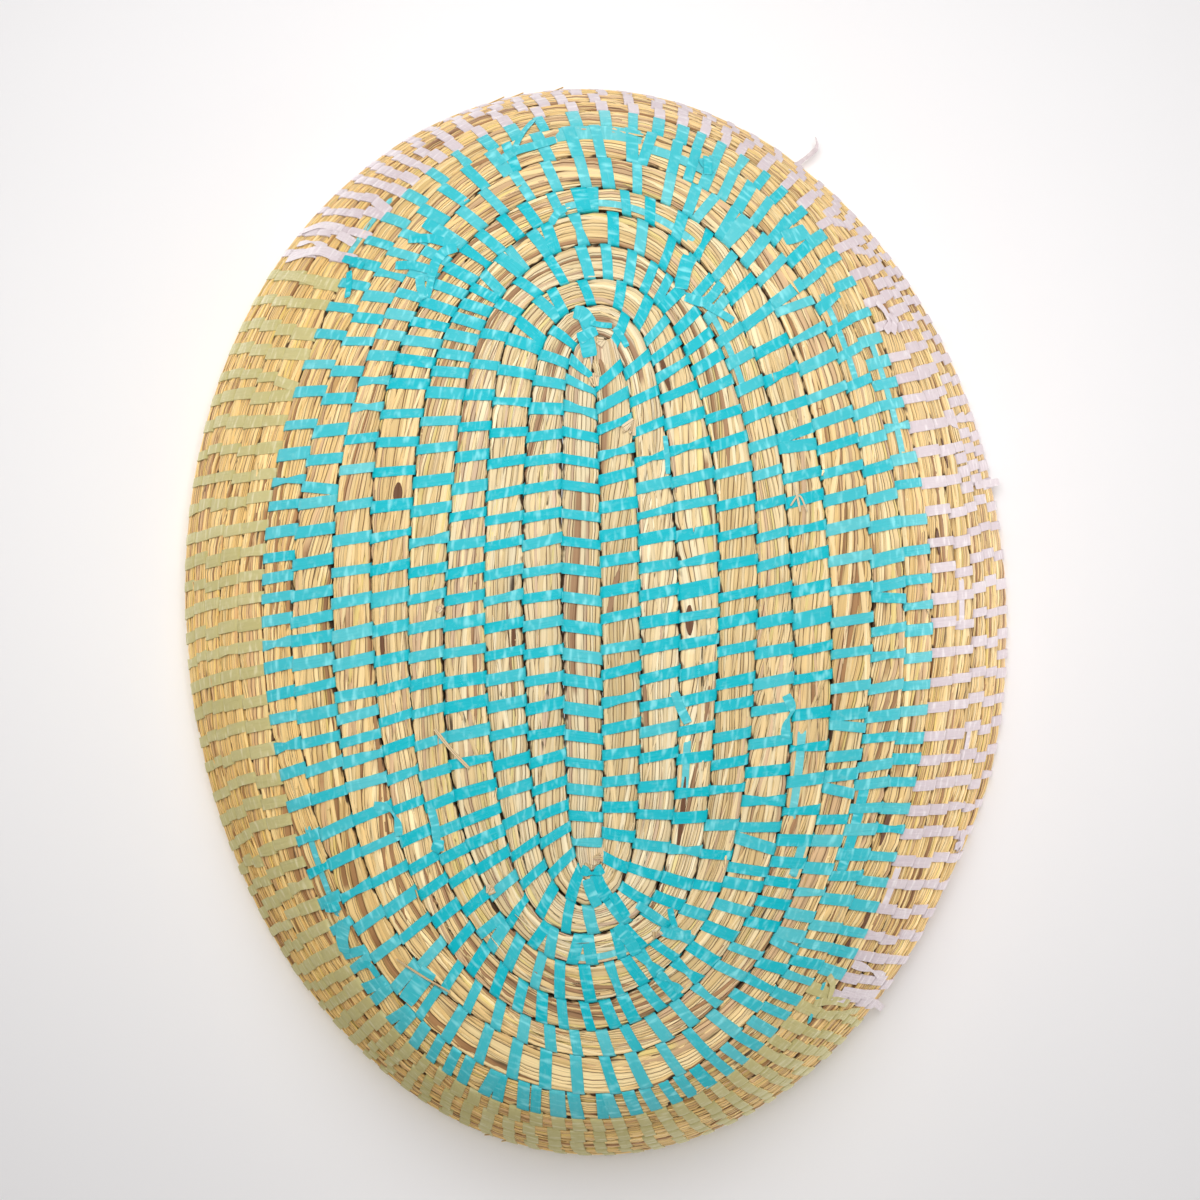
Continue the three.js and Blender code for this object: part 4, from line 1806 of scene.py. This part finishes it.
@dataclass
class LooseEnds:
    """Ends of strip laid along the rows, knots where one strip follows another, and frayed grass.

    Their places are pixels of the picture, counted right and down.
    """

    ribbons: LaidRibbons
    strips: dict[StripColour, Material]
    grass: Material
    cyan_ends: tuple[Laid, ...] = (
        Tail((556, 134), (640, 146), 0.0046),
        Tail((642, 146), (708, 164), 0.0028),
        Ribbon(((498, 163), (515, 152), (535, 146), (556, 140)), 0.0030, 0.3, (0.0002,)),
        Ribbon(((513, 153), (523, 134), (534, 121)), 0.0018, 0.3),
        Ribbon(((551, 224), (557, 214), (566, 208)), 0.0022, 0.3, (0.0003,)),
        Tail((566, 208), (693, 243), 0.0030),
        Tail((396, 199), (363, 262), 0.0026, 0.8),
        Ribbon(((425, 223), (441, 233), (457, 248)), 0.0034, 0.08, (0.0005,)),
        Ribbon(((409, 240), (430, 239), (455, 246)), 0.0026, 0.08, (0.0005,)),
        Ribbon(((457, 248), (445, 252), (437, 261), (431, 278)), 0.0028, 0.08, (0.0006,)),
        Ribbon(((396, 266), (414, 266), (430, 270)), 0.0026, 0.08, (0.0005,)),
        Ribbon(((420, 274), (421, 288), (425, 299)), 0.0026, 0.1),
        Ribbon(((434, 270), (430, 286), (427, 298)), 0.0020, 0.1),
        Ribbon(((344, 259), (354, 262), (364, 267)), 0.0024, 0.15),
        Ribbon(((350, 272), (350, 286), (348, 298)), 0.0022, 0.15),
        Ribbon(((689, 256), (684, 273), (681, 289)), 0.0040, 0.15),
        Ribbon(((685, 297), (704, 302), (722, 284)), 0.0028, 0.15, (0.0005,)),
        Ribbon(((704, 304), (718, 312), (733, 321)), 0.0022, 0.3, (0.0005,)),
        Tail((708, 316), (736, 391), 0.0022, 0.5),
        Ribbon(((806, 231), (794, 236), (783, 239)), 0.0046, 0.4),
        Tail((819, 294), (850, 385), 0.0024),
        Tail((871, 338), (902, 455), 0.0024),
        Ribbon(((665, 436), (667, 455), (668, 474)), 0.0014, 0.3, (0.0003,)),
        Ribbon(((674, 692), (681, 709), (688, 723)), 0.0026, 0.3),
        Tail((688, 741), (682, 798), 0.0022),
        Ribbon(((786, 695), (792, 709), (787, 722), (785, 738)), 0.0028, 0.3, half_twists=1.0),
        Tail((797, 732), (793, 821), 0.0024),
        Tail((861, 786), (845, 872), 0.0034, 0.15),
        Tail((804, 841), (796, 879), 0.0026),
        Ribbon(((637, 904), (651, 913), (665, 923)), 0.0024, 0.1),
        Ribbon(((660, 930), (675, 935), (691, 934)), 0.0026, 0.1),
        Ribbon(((670, 908), (672, 918), (675, 927)), 0.0018, 0.1, (0.0005,)),
        Ribbon(((612, 894), (620, 906), (627, 917)), 0.0026, 0.1, (0.0003,)),
        Ribbon(((617, 925), (628, 939), (637, 954)), 0.0034, 0.1),
        Ribbon(((658, 973), (670, 981), (681, 991)), 0.0024, 0.1, half_twists=1.0),
        Tail((566, 963), (642, 957), 0.0022),
        Tail((306, 826), (340, 915), 0.0026, 0.6),
        Ribbon(((345, 922), (343, 940), (346, 952)), 0.0044, 0.4),
        Ribbon(((374, 805), (388, 808), (397, 820), (399, 836)), 0.0024, 0.3, half_twists=1.0),
        Ribbon(((431, 808), (435, 824), (437, 841)), 0.0024, 0.3),
        Ribbon(((430, 970), (418, 985), (406, 1001)), 0.0050, 0.35),
        Ribbon(((358, 967), (369, 964), (379, 976)), 0.0022, 0.2),
        Ribbon(((824, 982), (815, 1004), (808, 1023)), 0.0014, 0.1, (0.0002,)),
        Ribbon(((574, 312), (582, 314), (591, 325)), 0.0040, 0.08),
        Ribbon(((588, 322), (600, 325), (612, 326)), 0.0016, 0.08),
        Ribbon(((614, 328), (621, 336), (627, 347)), 0.0017, 0.08),
        Ribbon(((583, 331), (587, 342), (590, 357)), 0.0044, 0.08),
        Ribbon(((597, 331), (588, 335), (579, 341)), 0.0026, 0.08, (0.0006,)),
        Ribbon(((581, 869), (592, 873), (603, 868)), 0.0030, 0.08, (0.0005,), 1.0),
        Ribbon(((587, 879), (591, 892), (598, 906)), 0.0030, 0.08),
    )
    olive_ends: tuple[Laid, ...] = (
        Ribbon(((828, 975), (832, 985), (829, 997)), 0.0022, lifts=(0.0003,)),
        Ribbon(((813, 1003), (830, 1000), (848, 1003)), 0.0028, 0.2, (0.0003,)),
        Ribbon(((817, 1015), (836, 1012), (858, 1010)), 0.0024, 0.2, (0.0003,), 1.0),
        Ribbon(((287, 276), (305, 279), (324, 285)), 0.0026, 0.3, (0.0003,)),
    )
    lilac_ends: tuple[Laid, ...] = (
        Ribbon(((790, 172), (801, 162), (809, 156), (817, 147), (815, 138)), 0.0017, lifts=(0.0003,)),
        Ribbon(((875, 302), (884, 312), (890, 324)), 0.0028),
        Tail((955, 578), (956, 632), 0.0030),
        Tail((969, 722), (963, 758), 0.0026),
        Ribbon(((974, 486), (985, 484), (998, 482)), 0.0024),
        Tail((897, 866), (892, 914), 0.0034, 0.9),
        Ribbon(((852, 963), (866, 968), (883, 976)), 0.0028, half_twists=1.0),
        Ribbon(((841, 990), (858, 993), (877, 993)), 0.0032),
        Ribbon(((868, 999), (875, 1003), (882, 1008)), 0.0024, lifts=(0.0003,)),
        Ribbon(((304, 232), (322, 226), (344, 229)), 0.0026),
        Ribbon(((288, 260), (305, 254), (321, 251), (341, 258)), 0.0034),
        Ribbon(((299, 245), (314, 243), (327, 248)), 0.0022, half_twists=1.0),
        Ribbon(((339, 235), (347, 239), (355, 244)), 0.0028),
    )
    cyan_knots: tuple[Knot, ...] = (
        Knot((707, 166), (9, 9), 2, 3),
        Knot((333, 908), (8, 7), 2, 4),
        Knot((438, 846), (6, 7), 2, 6),
    )
    lilac_knots: tuple[Knot, ...] = (Knot((959, 840), (6, 11), 3, 13), Knot((890, 324), (8, 10), 3, 14))
    dark_stems: tuple[Tail, ...] = (
        Tail((398, 480), (396, 506), 0.0024, pointed=0.8),
        Tail((370, 628), (371, 662), 0.0012, pointed=0.9),
        Tail((515, 618), (515, 652), 0.0012, pointed=0.9),
        Tail((688, 606), (690, 634), 0.0022, pointed=0.8),
        Tail((677, 772), (664, 852), 0.0016, pointed=0.9),
        Tail((660, 352), (669, 394), 0.0016, pointed=0.9),
        Tail((888, 800), (880, 848), 0.0020, pointed=0.9),
        Tail((876, 902), (868, 938), 0.0014, pointed=0.9),
        Tail((851, 938), (845, 966), 0.0018, pointed=0.9),
        Tail((936, 526), (936, 554), 0.0016, pointed=0.9),
        Tail((937, 436), (938, 468), 0.0016, pointed=0.9),
    )
    dark_colour: Triple = (0.15, 0.065, 0.03)
    tufts: tuple[Tuft, ...] = (
        Tuft((634, 420), 250.0, 16.0),
        Tuft((596, 386), 110.0, 12.0),
        Tuft((604, 340), 200.0, 9.0),
        Tuft((593, 858), 10.0, 9.0),
        Tuft((438, 612), 80.0, 8.0),
        Tuft((655, 937), 70.0, 10.0),
        Tuft((488, 893), 60.0, 9.0),
    )
    stray_blades: tuple[Ribbon, ...] = (
        Ribbon(((435, 729), (451, 749), (469, 768)), 0.0010, lifts=(0.0008,)),
        Ribbon(((397, 958), (424, 976), (451, 992)), 0.0006, lifts=(0.0009,)),
        Ribbon(((793, 483), (797, 498), (800, 512)), 0.0006, lifts=(0.0010,)),
        Ribbon(((790, 506), (798, 496), (807, 512)), 0.0005, lifts=(0.0010,)),
    )
    # The frayed ends of the start bundle.
    sheaves: tuple[Sheaf, ...] = (
        Sheaf(((596, 336), (612, 339)), ((597, 374), (620, 370)), 6),
        Sheaf(((586, 863), (601, 861)), ((583, 845), (603, 842)), 5),
    )
    pale_colours: int = 4
    blade_shades: Pair = (0.85, 1.05)
    blade_seed: int = 71
    marking_seed: int = 72

    def dress(self, colour: StripColour, ends: tuple[Laid, ...], knots: tuple[Knot, ...]) -> None:
        """Builds the loose ends and knots of one colour as one piece.

        Args:
            colour: The strip's colour.
            ends: Its loose ends.
            knots: Its knots.
        """
        every = [*ends, *(ribbon for knot in knots for ribbon in knot.ribbons())]
        grids = self.ribbons.strips(every, len(every))
        place(grids.build(f"{colour.name.lower()}_ends", self.strips[colour]), colour.value)

    def frayed_grass(self) -> None:
        """Builds the tufts, stray blades, sheaves and dark stems as one piece, coloured by chance."""
        rng = np.random.default_rng(self.blade_seed)
        blades = [blade for tuft in self.tufts for blade in tuft.ribbons(rng)]
        blades += self.stray_blades
        blades += [blade for sheaf in self.sheaves for blade in sheaf.ribbons()]
        chosen = np.array(GrassBundle.palette)[rng.integers(0, self.pale_colours, len(blades))]
        pale = chosen * rng.uniform(*self.blade_shades, (len(blades), 1))
        colours = np.concatenate([pale, np.tile(self.dark_colour, (len(self.dark_stems), 1))])
        grids = self.ribbons.stems([*blades, *self.dark_stems], colours, self.marking_seed)
        place(grids.build("frayed_grass", self.grass), "grass")

    def build(self) -> None:
        """Builds every loose end, knot and tuft."""
        self.dress(StripColour.CYAN, self.cyan_ends, self.cyan_knots)
        self.dress(StripColour.OLIVE, self.olive_ends, ())
        self.dress(StripColour.LILAC, self.lilac_ends, self.lilac_knots)
        self.frayed_grass()


# Stage


@dataclass(frozen=True)
class SoftLight:
    """A soft square light that faces the basket, and that the camera doesn't see."""

    name: str
    stand: Triple
    size: float
    power: float

    def build(self) -> bpy.types.Object:
        """Makes the light, with its back away from the origin and its side level along Y.

        Returns:
            The new light.
        """
        data = bpy.data.lights.new(self.name, "AREA")
        data.shape = "SQUARE"
        data.size = self.size
        data.energy = self.power
        made = bpy.data.objects.new(self.name, data)
        bpy.context.scene.collection.objects.link(made)
        back = unit(np.array(self.stand))
        side = unit(np.cross((0.0, 1.0, 0.0), back))
        made.matrix_world = pose(side, np.cross(back, side), back, self.stand)
        made.visible_camera = False
        return made


@dataclass(frozen=True)
class Studio:
    """Plain pale surfaces, soft lights on both sides of the basket, and the camera below the base."""

    view: PictureView
    backdrop_height: float = 0.0630
    rim_middle: Pair = (0.0014, 0.0023)
    backdrop_hole: Pair = (0.162, 0.122)
    floor_hole: Pair = (0.001, 0.001)
    floor_reach: float = 1.7
    backdrop_half_side: float = 0.216
    rings: int = 12
    ring_points: int = 97
    # Painted contact shadow on the floor: an oval of this reach round the base, dark inside.
    base_reach: Pair = (0.150, 0.100)
    contact_shadow_ramp: Ramp = (0.8, 1.3, 1.0, 0.0)
    floor_fade: Ramp = (0.5, 1.6, 0.0, 1.0)
    backdrop_colour: Colour = (0.89, 0.875, 0.88, 1.0)
    # The colour of the painted contact shadow.
    contact_shadow_colour: Colour = (0.05, 0.045, 0.04, 1.0)
    floor_colour: Colour = (0.60, 0.59, 0.595, 1.0)
    roughness: float = 0.9
    specular: float = 0.1
    surroundings_colour: Colour = (1.0, 0.99, 0.985, 1.0)
    # The strength of the surroundings as light, and as the camera sees them.
    surroundings: Pair = (0.24, 0.62)
    sensor_mm: float = 36.0
    near_clip: float = 0.01
    lights_beside: tuple[SoftLight, ...] = (
        SoftLight("key_below", (0.13, -0.01, -0.38), 0.34, 2.02),
        SoftLight("side_right", (0.06, 0.62, 0.06), 0.4, 2.8),
        SoftLight("side_left", (0.10, -0.62, 0.06), 0.4, 1.7),
        SoftLight("side_top", (0.62, 0.0, 0.16), 0.4, 1.6),
        SoftLight("side_bottom", (-0.62, 0.06, -0.06), 0.4, 1.0),
    )
    lights_above: tuple[SoftLight, ...] = (
        SoftLight("key_above", (0.35, -0.40, 1.0), 0.9, 13.0),
        SoftLight("fill_above", (-0.6, 0.5, 0.9), 1.0, 5.0),
    )

    def camera(self) -> None:
        """The camera looks up at the base, with +X at the top of the picture and +Y on its right."""
        view = self.view
        data = bpy.data.cameras.new("camera")
        data.sensor_width = self.sensor_mm
        data.lens = view.focal_px / view.frame_px * self.sensor_mm
        data.shift_x = 0.5 - view.middle_px[0] / view.frame_px
        data.shift_y = view.middle_px[1] / view.frame_px - 0.5
        data.clip_start = self.near_clip
        camera = bpy.data.objects.new("camera", data)
        bpy.context.scene.collection.objects.link(camera)
        right, top, forward = view.axes()
        camera.matrix_world = pose(right, top, -forward, -view.distance * forward)
        bpy.context.scene.camera = camera

    def pale(self, name: str, faces_up: bool) -> Material:
        """A pale material that shows from one side. The floor's has a painted contact shadow under the base
        and fades far off.

        Args:
            name: Its name.
            faces_up: Whether it is the floor's, or the backdrop's.

        Returns:
            The new material.
        """
        shader = Shader(name)
        colour = self.backdrop_colour
        hidden = shader.add("ShaderNodeNewGeometry", {}).outputs["Backfacing"]
        if faces_up:
            position = shader.add("ShaderNodeTexCoord", {}).outputs["Object"]
            over_base = shader.stretched(position, 1 / self.base_reach[0], 1 / self.base_reach[1], 0.0)
            # Painted contact shadow under the base.
            near = shader.ramp(shader.length(over_base), self.contact_shadow_ramp)
            colour = shader.mix(near, self.floor_colour, self.contact_shadow_colour)
            faded = shader.ramp(shader.length(position), self.floor_fade)
            hidden = shader.math("MAXIMUM", hidden, faded)
        shader.coat(colour, self.roughness, self.specular)
        clear = shader.add("ShaderNodeBsdfTransparent", {}).outputs[0]
        choose = shader.add("ShaderNodeMixShader", {0: hidden, 1: shader.main.outputs[0], 2: clear})
        shader.join(choose.outputs[0], shader.output.inputs["Surface"])
        return shader.material

    def surface(self, name: str, height: float, hole: Pair, faces_up: bool) -> bpy.types.Object:
        """A round floor or a square backdrop with an oval hole, which casts no shadow.

        Its points go out from the hole, the farther the faster, by the square of their share.

        Args:
            name: Its name.
            height: Its height.
            hole: The hole's half length and half width.
            faces_up: Whether it is the floor, seen from above, or the backdrop, seen from below.

        Returns:
            The new object.
        """
        share = np.linspace(0, 1, self.rings)[:, None] ** 2
        angle = np.linspace(0, 2 * np.pi, self.ring_points)[None, :]
        angle = angle if faces_up else -angle
        square = self.backdrop_half_side / np.maximum(np.abs(np.cos(angle)), np.abs(np.sin(angle)))
        far = self.floor_reach if faces_up else square
        x = self.rim_middle[0] + (hole[0] + (far - hole[0]) * share) * np.cos(angle)
        y = self.rim_middle[1] + (hole[1] + (far - hole[1]) * share) * np.sin(angle)
        points = np.stack(np.broadcast_arrays(x, y, np.array(height)), axis=-1)[None]
        made = Grids(points, points[..., :2]).build(name, self.pale(name, faces_up))
        made.visible_shadow = False
        made.visible_glossy = False
        made.visible_transmission = False
        return made

    def surround(self) -> None:
        """Makes the surrounding light, which the camera sees brighter than it lights."""
        world = bpy.data.worlds.new("surroundings")
        world.use_nodes = True
        nodes, links = world.node_tree.nodes, world.node_tree.links
        background = nodes["Background"]
        background.inputs[0].default_value = self.surroundings_colour
        strength = nodes.new("ShaderNodeMapRange")
        links.new(nodes.new("ShaderNodeLightPath").outputs["Is Camera Ray"], strength.inputs["Value"])
        strength.inputs["To Min"].default_value = self.surroundings[0]
        strength.inputs["To Max"].default_value = self.surroundings[1]
        links.new(strength.outputs[0], background.inputs[1])
        bpy.context.scene.world = world

    def build(self) -> None:
        """Builds the surfaces, the lights and the camera. The lights beside the basket spare the floor."""
        bpy.context.scene.view_settings.view_transform = "Standard"
        self.surround()
        floor = self.surface("floor", 0.0, self.floor_hole, True)
        floor.visible_diffuse = False
        self.surface("backdrop", self.backdrop_height, self.backdrop_hole, False)
        spared = bpy.data.collections.new("spared_by_side_lights")
        spared.objects.link(floor)
        spared.collection_objects[0].light_linking.link_state = "EXCLUDE"
        for light in self.lights_beside:
            light.build().light_linking.receiver_collection = spared
        for light in self.lights_above:
            light.build()
        self.camera()


def main() -> None:
    """Builds the stage, the grass, the stitches and the loose ends, in that order."""
    logging.basicConfig(level=logging.INFO, format="%(message)s")
    view = PictureView()
    Studio(view).build()
    form = BasketForm()
    lane = Lane(form)
    plan = StitchPlan(form, lane)
    grass = GrassFinish().build()
    GrassCoil(form, grass).build(plan)
    on_base = (form.tip_deg + form.tidy_tip_deg, form.base_end_deg)
    on_wall = (form.base_end_deg, form.end_deg - form.tidy_end_deg)
    for name, stems in (
        ("loose_stems_base", LooseStems(lane, *on_base, count=420, seed=61)),
        ("loose_stems_wall", LooseStems(lane, *on_wall, count=520, seed=62)),
    ):
        place(stems.grids().build(name, grass), "grass")
    strips = {finish.colour: finish.build() for finish in STRIP_FINISHES}
    Binding(form, plan, strips).build()
    LooseEnds(LaidRibbons(OuterFace(form, view)), strips, grass).build()


if __name__ == "__main__":
    main()
